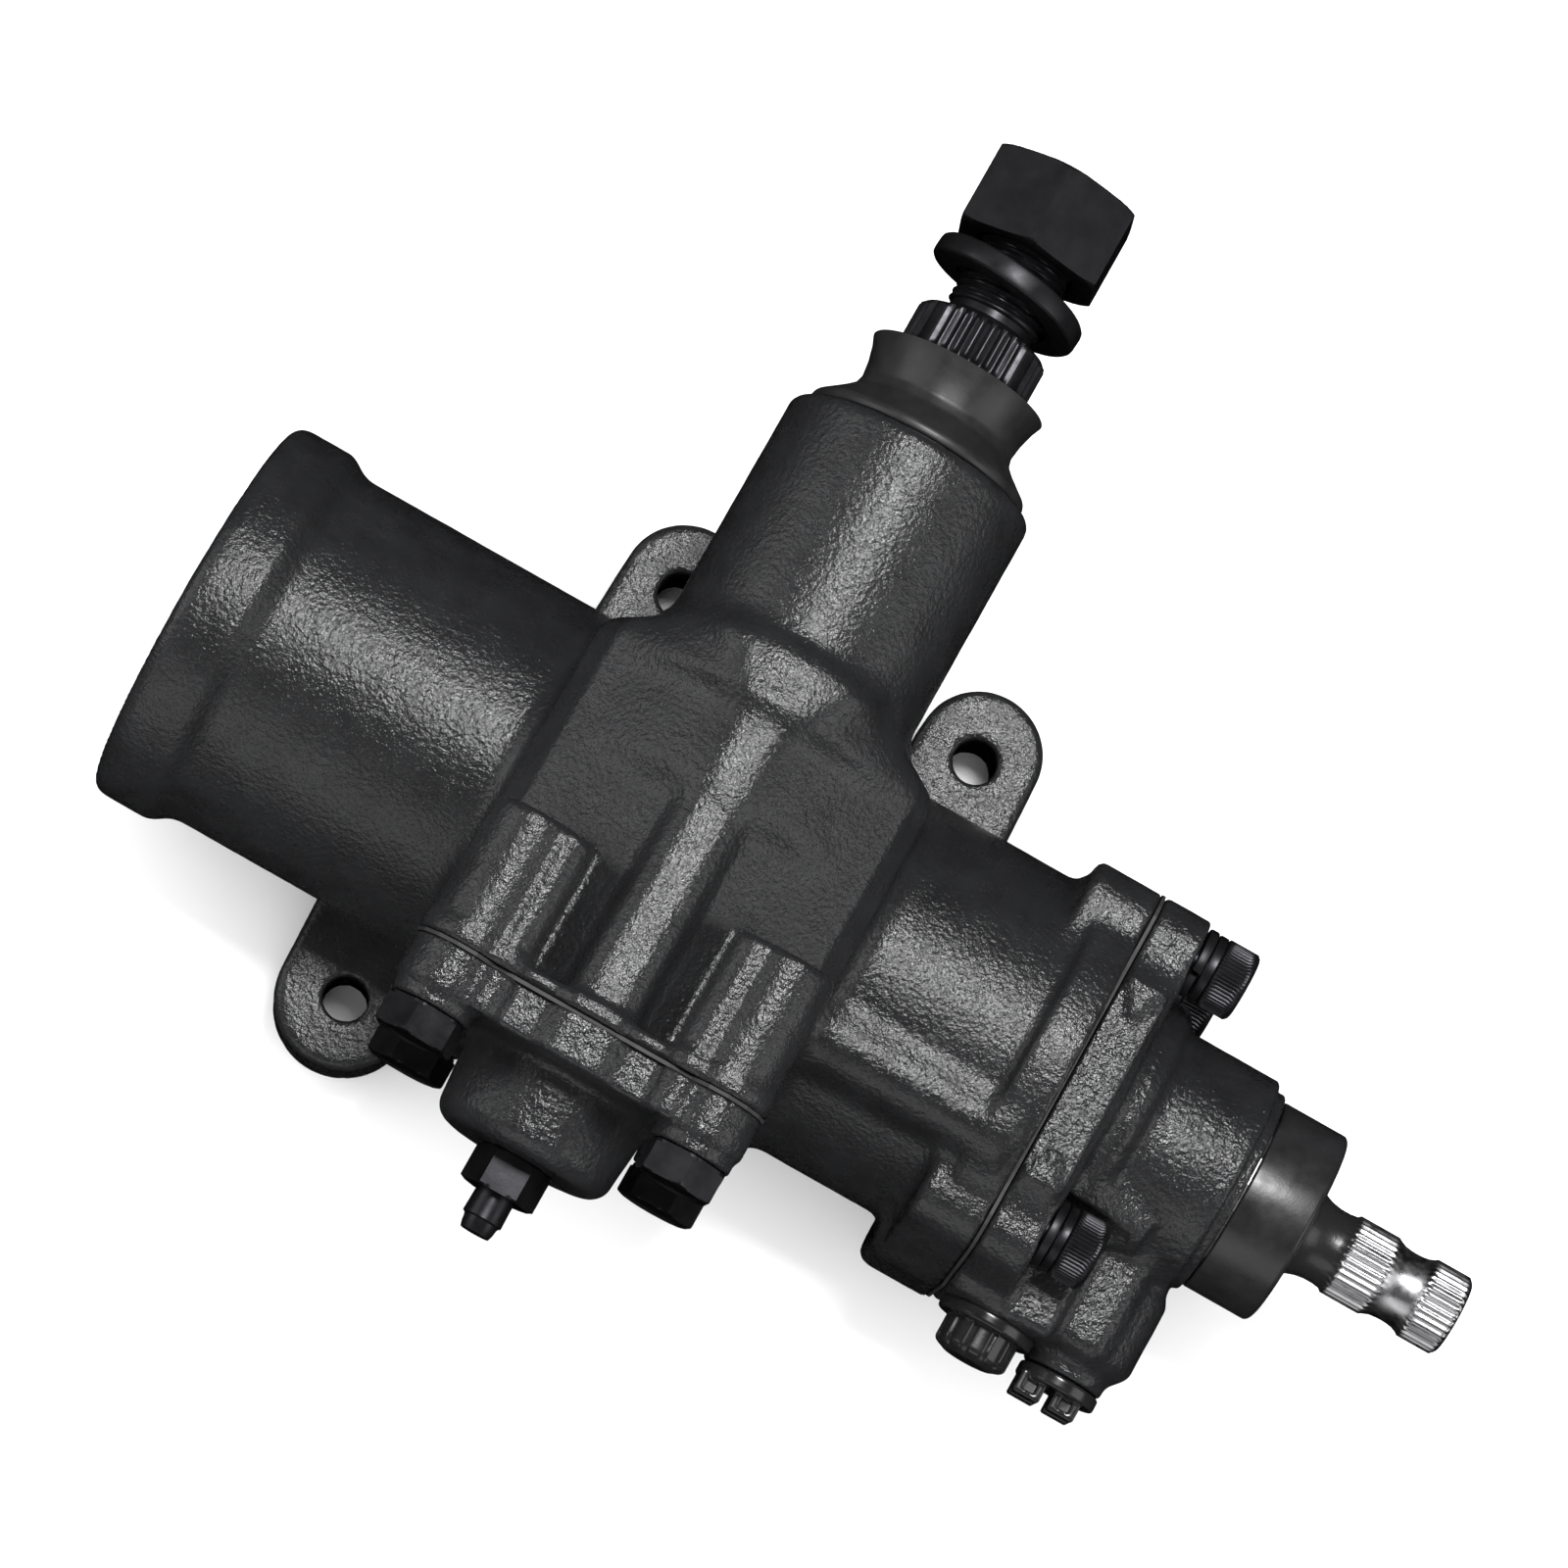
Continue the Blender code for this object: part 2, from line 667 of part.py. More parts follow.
def make_gear_housing():
    housing = make_barrel()
    below = COVER_FACE_Y - 2
    block = prism("chamber_block", "Y", block_outline(), below, BLOCK_TOP)
    collar = rod("tube_root", "Y", SECTOR_AXIS, BLOCK_TOP - 4, BLOCK_TOP + 6, 35.0, FINE, TUBE_RADIUS - 0.5)
    tube_profile = [
        (0, TUBE_END),
        (TUBE_RADIUS - 2.6, TUBE_END),
        (TUBE_RADIUS - 0.7, TUBE_END - 1.2),
        (TUBE_RADIUS, TUBE_END - 3.4),
        (TUBE_RADIUS, 20.0),
        (0, 20.0),
    ]
    tube = turned("tube", "Y", SECTOR_AXIS, tube_profile, FINE)
    saddle = box("tube_saddle", (-24, 20, WORM_Z - 30), (24, 41.5, SECTOR_Z))
    columns = []
    for side in (-1, 1):
        for z in (-1, 1):
            top = -18.5 if z > 0 else -22.0
            at = (side * COVER_BOLT_X, 0, SECTOR_Z + z * COVER_BOLT_Z)
            columns.append(bolt_boss(f"boss_{side}_{z}", at, below - 1, top))
    cover_land = prism("cover_land", "Y", cover_outline(), below - 2, COVER_FACE_Y + 6)
    flange = prism("flange", "X", flange_outline(-51.3), FLANGE_START_X, HOUSING_FACE_X + 2)
    passage = rod("oil_passage", "X", OIL_PASSAGE, 36.0, FLANGE_START_X + 4, 8.0, SMALL)
    tongues, holes = lug_tools()
    join(housing, block, collar, tube, saddle, *columns, cover_land, flange, passage, *tongues)

    cover_face = box("cover_face", (-60, COVER_FACE_Y - 20, 25), (60, COVER_FACE_Y, 160))
    valve_face = box("valve_face", (HOUSING_FACE_X, -70, -20), (HOUSING_FACE_X + 20, 70, 120))
    bore_profile = [
        (0, HOUSING_FACE_X + 5),
        (VALVE_BORE_RADIUS, HOUSING_FACE_X + 5),
        (VALVE_BORE_RADIUS, BORE_END),
        (BORE_RADIUS, BORE_END),
        (BORE_RADIUS, PLUG_SEAT_END),
        (PLUG_SEAT_RADIUS, PLUG_SEAT_END),
        (PLUG_SEAT_RADIUS, RING_GROOVE[1]),
        (RING_GROOVE_RADIUS, RING_GROOVE[1]),
        (RING_GROOVE_RADIUS, RING_GROOVE[0]),
        (PLUG_SEAT_RADIUS, RING_GROOVE[0]),
        (PLUG_SEAT_RADIUS, BARREL_START - 5),
        (0, BARREL_START - 5),
    ]
    bore = turned("main_bore", "X", WORM_AXIS, bore_profile, FINE)
    lower = rod("chamber_lower", "Y", SECTOR_AXIS, COVER_FACE_Y - 5, CHAMBER_TOP, CHAMBER_RADIUS, FINE)
    keep = box("chamber_limit", (-40, COVER_FACE_Y - 8, SECTOR_Z + 6), (40, CHAMBER_TOP + 3, SECTOR_Z + 50))
    cut(lower, keep)
    upper = rod("chamber_upper", "Y", SECTOR_AXIS, COVER_FACE_Y - 5, CHAMBER_TOP, CHAMBER_FRONT_RADIUS, FINE)
    shaft_profile = [
        (0, TUBE_END + 5),
        (TUBE_BORE, TUBE_END + 5),
        (TUBE_BORE, 87.6),
        (TUBE_BORE + 1.7, 87.6),
        (TUBE_BORE + 1.7, 85.0),
        (TUBE_BORE, 85.0),
        (TUBE_BORE, CHAMBER_TOP - 3),
        (0, CHAMBER_TOP - 3),
    ]
    shaft_bore = turned("shaft_bore", "Y", SECTOR_AXIS, shaft_profile)
    tapped = []
    for side in (-1, 1):
        for z in (-1, 1):
            at = (side * COVER_BOLT_X, 0, SECTOR_Z + z * COVER_BOLT_Z)
            tapped.append(rod(f"cover_tap_{side}_{z}", "Y", at, COVER_FACE_Y - 5, TAP_ENDS[z], 4.5, SMALL))
    for y in VALVE_BOLT_Y:
        for side in (-1, 1):
            at = (0, y, WORM_Z + side * VALVE_BOLT_Z)
            tapped.append(rod(f"valve_tap_{y:.0f}_{side}", "X", at, 83.5, HOUSING_FACE_X + 5, 4.5, SMALL))
    cut(housing, cover_face, valve_face, bore, lower, upper, shaft_bore, *holes, *tapped)
    part(housing, "gear_housing", CAST_BLACK)


def make_barrel_end():
    """End plug, its O-ring and the retaining ring that holds it in the barrel."""
    inner = PLUG_SEAT_END - 0.4
    seal_end = inner - 2.2
    seal_start = seal_end - 3.0
    face = RING_GROOVE[1] + CLEARANCE
    profile = [
        (0, inner),
        (40.1, inner),
        (40.1, seal_end),
        (38.0, seal_end),
        (38.0, seal_start),
        (40.1, seal_start),
        (40.1, face),
        (31.0, face),
        (28.0, face + 3.6),
        (0, face + 3.6),
    ]
    part(turned("end", "X", WORM_AXIS, profile, FINE), "barrel_end_plug", CAST_BLACK)
    seal = sleeve("seal", "X", WORM_AXIS, seal_start + CLEARANCE, seal_end - CLEARANCE, 40.2, 38.3, FINE)
    part(seal, "end_plug_o_ring", SEAL)
    ring = sleeve("ring", "X", WORM_AXIS, RING_GROOVE[0] + 0.4, RING_GROOVE[1] - 0.4, 42.2, 37.6, FINE)
    gap = box("ring_gap", (BARREL_START - 2, -4.0, WORM_Z + 20), (PLUG_SEAT_END, 4.0, WORM_Z + 50))
    part(cut(ring, gap), "end_plug_retaining_ring", BLACK_STEEL)


def make_side_cover():
    plate_start = COVER_FACE_Y - 2 * CLEARANCE - GASKET
    plate_end = plate_start - COVER_PLATE
    gasket = prism("gasket", "Y", cover_outline(), COVER_FACE_Y - CLEARANCE - GASKET, COVER_FACE_Y - CLEARANCE)
    gasket_hole = rod("gasket_hole", "Y", SECTOR_AXIS, -60, -40, CHAMBER_RADIUS, FINE)
    plate = prism("plate", "Y", cover_outline(), plate_end, plate_start)
    dome_profile = [
        (0, plate_start - 2),
        (COVER_DOME_RADIUS + 0.9, plate_start - 2),
        (COVER_DOME_RADIUS + 0.9, plate_end - 0.6),
        (COVER_DOME_RADIUS, plate_end - 3.5),
        (COVER_DOME_RADIUS - 1.0, COVER_DOME_END + 3.2),
        (COVER_DOME_RADIUS - 3.6, COVER_DOME_END + 0.4),
        (COVER_DOME_RADIUS - 5.5, COVER_DOME_END),
        (0, COVER_DOME_END),
    ]
    dome = turned("dome", "Y", SECTOR_AXIS, dome_profile, FINE)
    pilot = rod("pilot", "Y", SECTOR_AXIS, plate_start - 3, COVER_FACE_Y + 3.0, 24.0, ROUND)
    bushing_bore = rod("bushing_bore", "Y", SECTOR_AXIS, -73.6, -40.0, 18.6)
    tapped = rod("adjuster_tap", "Y", SECTOR_AXIS, -85.0, -70.0, 5.1, SMALL)
    bosses = []
    holes = []
    for side in (-1, 1):
        for z in (-1, 1):
            at = (side * COVER_BOLT_X, 0, SECTOR_Z + z * COVER_BOLT_Z)
            pad = rod(f"pad_{side}_{z}", "Y", at, plate_end - 3.6, plate_end + 3, COVER_BOSS_RADIUS, 16)
            bosses.append(pad)
            holes.append(rod(f"cover_hole_{side}_{z}", "Y", at, plate_end - 8, -40, 5.4, SMALL))
    cut(gasket, gasket_hole, *holes)
    part(gasket, "side_cover_gasket", SEAL)
    part(cut(join(plate, dome, pilot, *bosses), bushing_bore, tapped, *holes), "side_cover", CAST_BLACK)
    head_seat = plate_end - 3.6 - CLEARANCE
    number = 0
    for z in (1, -1):
        for side in (-1, 1):
            number += 1
            at = (side * COVER_BOLT_X, 0, SECTOR_Z + z * COVER_BOLT_Z)
            spin = math.radians(18 if side < 0 else -7)
            bolt = rod("bolt", "Y", at, head_seat - 7.4, head_seat, 9.6, 6, spin=spin)
            face = rod("bolt_face", "Y", at, head_seat - 8.2, head_seat - 7.0, 7.9, 16)
            shank = rod("bolt_shank", "Y", at, head_seat - 1, TAP_ENDS[z] - 1.5, 4.1, SMALL)
            part(join(bolt, face, shank), f"side_cover_bolt_{number}", BLACK_STEEL)


def make_lash_adjuster():
    seat = COVER_DOME_END - CLEARANCE
    profile = [
        (0, -61.2),
        (7.8, -61.2),
        (7.8, -65.2),
        (4.7, -65.2),
        (4.7, -91.2),
        (4.2, -92.0),
        (4.2, ADJUSTER_TIP + 0.5),
        (3.7, ADJUSTER_TIP),
        (0, ADJUSTER_TIP),
    ]
    screw = turned("adjuster", "Y", SECTOR_AXIS, profile, SMALL)
    slot = box("driver_slot", (-6, ADJUSTER_TIP - 1, SECTOR_Z - 0.8), (6, ADJUSTER_TIP + 2.6, SECTOR_Z + 0.8))
    part(cut(screw, slot), "lash_adjuster_screw", BLACK_STEEL)
    nut = rod("nut", "Y", SECTOR_AXIS, seat - 8.8, seat, 9.2, 6, spin=math.radians(30))
    hole = rod("nut_hole", "Y", SECTOR_AXIS, seat - 12, seat + 3, 5.05, SMALL)
    part(cut(nut, hole), "adjuster_lock_nut", BLACK_STEEL)


def make_sector_supports():
    part(sleeve("bushing", "Y", SECTOR_AXIS, -72.6, -52.0, 18.3, 16.25), "side_cover_bushing", BRONZE)
    part(sleeve("bearing", "Y", SECTOR_AXIS, 27.0, 59.0, 19.0, 16.25), "sector_needle_bearing", STEEL)
    part(sleeve("seal", "Y", SECTOR_AXIS, 75.0, 83.5, 19.0, 16.2), "sector_oil_seal", SEAL)
    ring = sleeve("ring", "Y", SECTOR_AXIS, 85.3, 87.3, 20.7, 17.2)
    gap = box("sector_ring_gap", (-3, 80, SECTOR_Z + 10), (3, 90, SECTOR_Z + 25))
    part(cut(ring, gap), "sector_seal_retaining_ring", BLACK_STEEL)
    base = TUBE_END + CLEARANCE
    boot = [
        (21.35, 120.4),
        (18.8, 110.0),
        (21.0, 106.6),
        (26.0, 102.6),
        (26.8, 101.6),
        (26.8, base),
        (24.6, base),
        (24.0, 101.4),
        (16.6, 108.0),
        (16.5, 112.0),
        (20.3, 120.4),
    ]
    part(turned("boot", "Y", SECTOR_AXIS, boot, ROUND, ring=True), "sector_dust_boot", RUBBER)


def make_pitman_hardware():
    nut = rod("nut", "Y", SECTOR_AXIS, 151.5, NUT_TOP, 19.7, 6, spin=math.radians(26))
    crown_profile = [(0, NUT_TOP + 1), (16.6, NUT_TOP + 1), (16.6, NUT_TOP), (21.0, NUT_TOP - 2.6)]
    crown_profile += [(21.0, 153.4), (17.4, 151.5), (17.4, 150.0), (0, 150.0)]
    crown = turned("nut_crown", "Y", SECTOR_AXIS, crown_profile)
    boolean(nut, "INTERSECT", [crown])
    bore = rod("pitman_nut_bore", "Y", SECTOR_AXIS, 145, 175, THREAD_RADIUS + CLEARANCE)
    part(cut(nut, bore), "pitman_nut", BLACK_STEEL)

    outer = 19.2
    inner = 12.5
    half = 2.6
    rise = 4.6
    steps = 32
    bm = bmesh.new()
    section = [(inner, -half), (outer - 1.2, -half), (outer, -half + 1.2), (outer, half - 1.2)]
    section += [(outer - 1.2, half), (inner, half)]
    corners = [bm.verts.new((r * MM, 0, (z + rise / 2) * MM)) for r, z in section]
    face = bm.faces.new(corners)
    bmesh.ops.spin(
        bm,
        geom=[face],
        cent=(0, 0, 0),
        axis=(0, 0, 1),
        dvec=(0, 0, -rise / steps * MM),
        angle=math.radians(352),
        steps=steps,
        use_duplicate=False,
    )
    bmesh.ops.remove_doubles(bm, verts=bm.verts, dist=0.000001)
    bmesh.ops.recalc_face_normals(bm, faces=bm.faces)
    bmesh.ops.rotate(bm, verts=bm.verts, cent=(0, 0, 0), matrix=Matrix.Rotation(math.radians(94), 3, "Z"))
    mesh = bpy.data.meshes.new("washer")
    bm.to_mesh(mesh)
    bm.free()
    washer = placed("washer", mesh, "Y", (0, 143.3, SECTOR_Z))
    washer.rotation_euler.rotate_axis("Y", math.radians(4.0))
    part(washer, "pitman_lock_washer", BLACK_STEEL)


# ---------------------------------------------------------------- valve housing


def make_valve_housing():
    spigot_start = 84.0
    profile = [
        (0, VALVE_END),
        (VALVE_LIP_RADIUS, VALVE_END),
        (VALVE_LIP_RADIUS, VALVE_BODY_END),
        (VALVE_RADIUS, VALVE_BODY_END - 0.8),
        (VALVE_RADIUS, 119.5),
        (VALVE_RADIUS + 4.5, 117.5),
        (VALVE_RADIUS + 5.5, VALVE_FLANGE_END + 3),
        (VALVE_BORE_RADIUS - 0.4, spigot_start),
        (0, spigot_start),
    ]
    body = turned("valve", "X", WORM_AXIS, profile, FINE)
    flange = prism("valve_flange", "X", flange_outline(-51.5), VALVE_FACE_X, VALVE_FLANGE_END)
    pressure = PORTS["pressure"]
    back = PORTS["return"]
    manifold = box("manifold", (VALVE_FACE_X + 1, pressure["face"], WORM_Z - 16.5), (125.0, -10, WORM_Z + 15.5))
    shoulder = box("manifold_shoulder", (120.0, -51.0, WORM_Z - 15), (138.5, -10, WORM_Z + 12))
    boss = rod("return_boss", "Y", (back["x"], 0, back["z"]), back["face"], -20.0, 9.8)
    outer_boss = rod("return_side", "Y", (back["x"] + 2.0, 0, back["z"] + 1), -50.5, -28.0, 11.4)
    tools = [manifold, shoulder, boss, outer_boss]
    join(body, flange, *tools)
    cavity = rod("valve_cavity", "X", WORM_AXIS, 88.0, VALVE_END + 5, VALVE_CAVITY, ROUND)
    wall = rod("worm_hole", "X", WORM_AXIS, spigot_start - 5, 90.0, 14.0)
    cuts = [cavity, wall]
    for name, port in PORTS.items():
        at = (port["x"], 0, port["z"])
        cuts.append(rod(name + "_port", "Y", at, port["face"] - 5, port["face"] + 15, port["bore"], SMALL))
        cuts.append(rod(name + "_passage", "Y", at, port["face"] + 10, -10.0, 3.0, 12))
    for y in VALVE_BOLT_Y:
        for side in (-1, 1):
            at = (0, y, WORM_Z + side * VALVE_BOLT_Z)
            cuts.append(rod(f"valve_hole_{y:.0f}_{side}", "X", at, 90.0, 115.0, 5.3, SMALL))
            cuts.append(rod(f"valve_pocket_{y:.0f}_{side}", "X", at, SPOT_FACE_X, 128.0, 9.6, 16))
    part(cut(body, *cuts), "valve_housing", CAST_BLACK)

    near = HOUSING_FACE_X + CLEARANCE
    gasket = prism("gasket_plate", "X", flange_outline(-51.5), near, near + GASKET)
    holes = [rod("gasket_hole", "X", WORM_AXIS, 90.0, 110.0, VALVE_BORE_RADIUS, FINE)]
    for y in VALVE_BOLT_Y:
        for side in (-1, 1):
            at = (0, y, WORM_Z + side * VALVE_BOLT_Z)
            holes.append(rod(f"gasket_clear_{y:.0f}_{side}", "X", at, 90.0, 110.0, 5.6, SMALL))
    part(cut(gasket, *holes), "valve_housing_seal", SEAL)


def make_valve_bolts():
    """Socket-head screws with a split washer under each head."""
    washer_start = SPOT_FACE_X + CLEARANCE
    head_start = washer_start + 2.5 + CLEARANCE
    number = 0
    for y in VALVE_BOLT_Y:
        for side in (1, -1):
            number += 1
            at = (0, y, WORM_Z + side * VALVE_BOLT_Z)
            washer = sleeve("lock", "X", at, washer_start, washer_start + 2.5, 8.3, 5.3, 16)
            gap = box("lock_gap", (105, y - 1, at[2] + 3), (120, y + 1, at[2] + 12))
            part(cut(washer, gap), f"valve_lock_washer_{number}", BLACK_STEEL)
            bolt = rod("bolt", "X", at, head_start, head_start + 10.4, 8.25, 16)
            shank = rod("bolt_shank", "X", at, 84.5, head_start + 1, 4.2, SMALL)
            socket = rod("bolt_socket", "X", at, head_start + 6.0, head_start + 14, 4.6, 6)
            part(cut(join(bolt, shank), socket), f"valve_bolt_{number}", BLACK_STEEL)


def make_input_end():
    """Thrust bearings, adjuster plug with its needle bearing and seal, and the dust cap over them."""
    part(sleeve("thrust", "X", WORM_AXIS, 88.4, 92.3, 20.5, 12.2), "inner_thrust_bearing", STEEL)
    part(sleeve("thrust", "X", WORM_AXIS, 136.4, 140.4, 20.5, 13.2), "outer_thrust_bearing", STEEL)
    profile = [
        (21.8, 156.0),
        (21.8, 140.8),
        (12.6, 140.8),
        (12.6, 142.5),
        (13.6, 142.5),
        (13.6, 156.0),
    ]
    part(turned("plug", "X", WORM_AXIS, profile, ring=True), "adjuster_plug", STEEL)
    part(sleeve("needle", "X", WORM_AXIS, 142.8, 149.5, 13.3, 10.2), "input_needle_bearing", STEEL)
    part(sleeve("seal", "X", WORM_AXIS, 150.0, 155.7, 13.3, 10.1), "input_shaft_seal", SEAL)
    cap = [
        (12.0, 161.3),
        (22.4, 161.2),
        (23.4, 160.6),
        (23.7, 159.6),
        (23.7, VALVE_END + 0.4),
        (22.2, VALVE_END + 0.4),
        (22.2, 158.6),
        (12.0, 159.0),
    ]
    part(turned("cap", "X", WORM_AXIS, cap, FINE, ring=True), "input_dust_cap", SATIN_BLACK)


def make_port_caps():
    """Push-in shipping caps: a ribbed dome on the pressure port, square grip tabs on the return port."""
    port = PORTS["pressure"]
    at = (port["x"], 0, port["z"])
    top = port["face"] - CLEARANCE
    dome_profile = [
        (0, top - 2),
        (8.8, top - 2),
        (8.8, top - 8.0),
        (7.6, top - 10.2),
        (5.2, top - 11.2),
        (0, top - 11.2),
    ]
    dome = turned("cap", "Y", at, dome_profile)
    flange = rod("cap_flange", "Y", at, top - 3.2, top, port["flange"], 24)
    plug = rod("cap_plug", "Y", at, top - 1, top + 9, port["bore"] - 0.4, SMALL)
    part(join(dome, flange, plug), "pressure_port_cap", GLOSS_BLACK)

    port = PORTS["return"]
    at = (port["x"], 0, port["z"])
    top = port["face"] - CLEARANCE
    flange = rod("cap", "Y", at, top - 3.2, top, port["flange"], 24)
    plug = rod("tab_plug", "Y", at, top - 1, top + 9, port["bore"] - 0.4, SMALL)
    tabs = []
    for side in (-1, 1):
        for z in (-1, 1):
            x = port["x"] - TAB_OFFSET + side * 4.4
            middle = port["z"] + z * 4.0
            low = (x - 3.3, top - 7.8, middle - 2.6)
            tabs.append(box(f"tab_{side}_{z}", low, (x + 3.3, top - 2, middle + 2.6)))
    part(join(flange, plug, *tabs), "return_port_cap", GLOSS_BLACK)


clear_scene()
PARTS = new_collection(OBJECT, False)
TOOLS = new_collection("cutters", True)
ROOT = new_root()
CAST_BLACK = new_material("cast_black_paint", (0.012, 0.012, 0.013), 0.32, 0.0)
SATIN_BLACK = new_material("satin_black", (0.014, 0.014, 0.015), 0.42, 0.0)
GLOSS_BLACK = new_material("gloss_black_plastic", (0.01, 0.01, 0.01), 0.15, 0.0)
BLACK_STEEL = new_material("black_oxide_steel", (0.02, 0.02, 0.022), 0.38, 0.9)
STEEL = new_material("ground_steel", (0.45, 0.45, 0.46), 0.28, 1.0)
BRIGHT = new_material("bright_steel", (0.62, 0.62, 0.63), 0.25, 1.0)
RUBBER = new_material("boot_rubber", (0.012, 0.012, 0.012), 0.5, 0.0)
SEAL = new_material("seal_rubber", (0.02, 0.02, 0.02), 0.6, 0.0)
BRONZE = new_material("bushing_bronze", (0.5, 0.33, 0.14), 0.35, 1.0)

make_gear_housing()
make_barrel_end()
make_side_cover()
make_lash_adjuster()
make_sector_supports()
make_sector_shaft()
make_pitman_hardware()
make_rack_piston()
make_ball_return()
make_balls()
make_worm()
make_torsion_bar()
make_valve_sleeve()
make_stub_shaft()
make_valve_housing()
make_valve_bolts()
make_input_end()
make_port_caps()
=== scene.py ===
"""Looks of the steering gearbox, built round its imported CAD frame.

Lengths are in millimetres in the gearbox's own layout, X along the worm and Y along the sector shaft, and
`made` scales them and shifts them into the frame.
"""

import math

import bmesh
import bpy
import numpy as np
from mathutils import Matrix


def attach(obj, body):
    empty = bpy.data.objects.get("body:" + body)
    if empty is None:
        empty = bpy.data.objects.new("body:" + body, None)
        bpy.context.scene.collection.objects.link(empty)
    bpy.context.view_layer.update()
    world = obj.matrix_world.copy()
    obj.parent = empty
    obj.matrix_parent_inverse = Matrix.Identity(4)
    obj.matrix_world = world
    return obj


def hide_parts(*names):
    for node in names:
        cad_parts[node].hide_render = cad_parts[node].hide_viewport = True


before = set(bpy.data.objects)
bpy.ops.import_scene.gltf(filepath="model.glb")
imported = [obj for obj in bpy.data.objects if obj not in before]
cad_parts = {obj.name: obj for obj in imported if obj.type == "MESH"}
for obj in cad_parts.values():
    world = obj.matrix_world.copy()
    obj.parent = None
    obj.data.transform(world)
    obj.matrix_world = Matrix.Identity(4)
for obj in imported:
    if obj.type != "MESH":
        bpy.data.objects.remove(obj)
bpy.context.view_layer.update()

import openvdb
from mathutils import Matrix, Vector

MM = 0.001
SHIFT = np.array((-38.3, -37.15, 0.0))
WORM = (0.0, 0.0, 48.0)
SECTOR = (0.0, 0.0, 98.0)
COVER_FACE = -48.3
COVER_BOLTS = [(31.7 * x, 98.0 + 29.0 * z) for z in (1, -1) for x in (-1, 1)]
VALVE_BOLTS = [(y, 48.0 + 25.0 * z) for y in (37.4, -31.9) for z in (1, -1)]
# Each lug's hole, how far its round end lies beyond the hole, and that end's radius
LUGS = ((46.6, 62.7, 2.3, 14.9), (-32.0, 62.7, 2.3, 14.9), (-52.6, -57.4, 0.0, 16.4))
PRESSURE = (109.6, -51.8, 50.0)
RETURN = (130.6, -55.7, 44.0)

# ---------------------------------------------------------------- distance fields


def smin(a, b, k):
    """Union of two distance fields with a fillet of about 0.85 k."""
    h = np.clip(0.5 + 0.5 * (b - a) / k, 0, 1)
    return b + (a - b) * h - k * h * (1 - h)


def smax(a, b, k):
    return -smin(-a, -b, k)


def capped(u, v, edge):
    """Distance to the shape inside both limits, its outer edge rounded."""
    u = u + edge
    v = v + edge
    return np.hypot(np.maximum(u, 0), np.maximum(v, 0)) + np.minimum(np.maximum(u, v), 0) - edge


def rod(p, axis, at, start, end, radius, edge=0.6):
    i = "XYZ".index(axis)
    j, k = [n for n in range(3) if n != i]
    across = np.hypot(p[j] - at[j], p[k] - at[k]) - radius
    return capped(across, np.abs(p[i] - (start + end) / 2) - (end - start) / 2, edge)


def cone(p, axis, at, start, end, first, last, edge=0.6):
    i = "XYZ".index(axis)
    j, k = [n for n in range(3) if n != i]
    share = np.clip((p[i] - start) / (end - start), 0, 1)
    slope = math.cos(math.atan2(abs(last - first), end - start))
    across = (np.hypot(p[j] - at[j], p[k] - at[k]) - first - (last - first) * share) * slope
    return capped(across, np.abs(p[i] - (start + end) / 2) - (end - start) / 2, edge)


def slab(p, low, high, edge=1.5):
    q = [np.abs(c - (a + b) / 2) - (b - a) / 2 + edge for c, a, b in zip(p, low, high)]
    outside = np.sqrt(sum(np.maximum(c, 0) ** 2 for c in q))
    return outside + np.minimum(np.maximum(np.maximum(q[0], q[1]), q[2]), 0) - edge


def polygon(u, v, points):
    """Signed distance to a closed polygon in a plane."""
    best = np.full(np.broadcast(u, v).shape, 1e9)
    sign = np.ones(best.shape)
    for i, (bu, bv) in enumerate(points):
        au, av = points[i - 1]
        eu, ev = au - bu, av - bv
        wu, wv = u - bu, v - bv
        t = np.clip((wu * eu + wv * ev) / max(eu * eu + ev * ev, 1e-9), 0, 1)
        best = np.minimum(best, (wu - eu * t) ** 2 + (wv - ev * t) ** 2)
        above = v >= bv
        below = v < av
        left = eu * wv > ev * wu
        sign = np.where((above & below & left) | (~above & ~below & ~left), -sign, sign)
    return sign * np.sqrt(best)


def inset(points, by):
    """A convex outline, listed anticlockwise, moved inwards."""
    lines = []
    for i, (bu, bv) in enumerate(points):
        au, av = points[i - 1]
        size = math.hypot(bu - au, bv - av)
        nu, nv = (bv - av) / size, -(bu - au) / size
        lines.append((nu, nv, nu * au + nv * av - by))
    moved = []
    for i, (a, b, c) in enumerate(lines):
        d, e, f = lines[(i + 1) % len(lines)]
        size = a * e - b * d
        moved.append(((c * e - b * f) / size, (a * f - c * d) / size))
    return moved


def prism(p, axis, points, start, end, radius=0.0, edge=1.2):
    """An outline, grown by radius, between two stations of an axis."""
    i = "XYZ".index(axis)
    j, k = [n for n in range(3) if n != i]
    across = polygon(p[j], p[k], points) - radius
    return capped(across, np.abs(p[i] - (start + end) / 2) - (end - start) / 2, edge)


def lumps(p, size):
    """The slow unevenness of a sand casting, about -1 to 1, and `size` mm across."""
    waves = ((0.9, 0.5, -0.7, 0.3), (-0.6, 1.0, 0.4, 1.7), (0.3, -0.8, 1.1, 4.1), (1.6, 1.3, 0.7, 2.2))
    total = 0
    for a, b, c, phase in waves:
        turn = 2 * math.pi / size
        total = total + np.sin(turn * (a * p[0] + b * p[1] + c * p[2]) + phase)
    for a, b, c, phase in waves[:3]:
        turn = 5.3 * math.pi / size
        total = total + 0.5 * np.sin(turn * (c * p[0] + a * p[1] - b * p[2]) - phase)
    return total / 4


# ---------------------------------------------------------------- materials


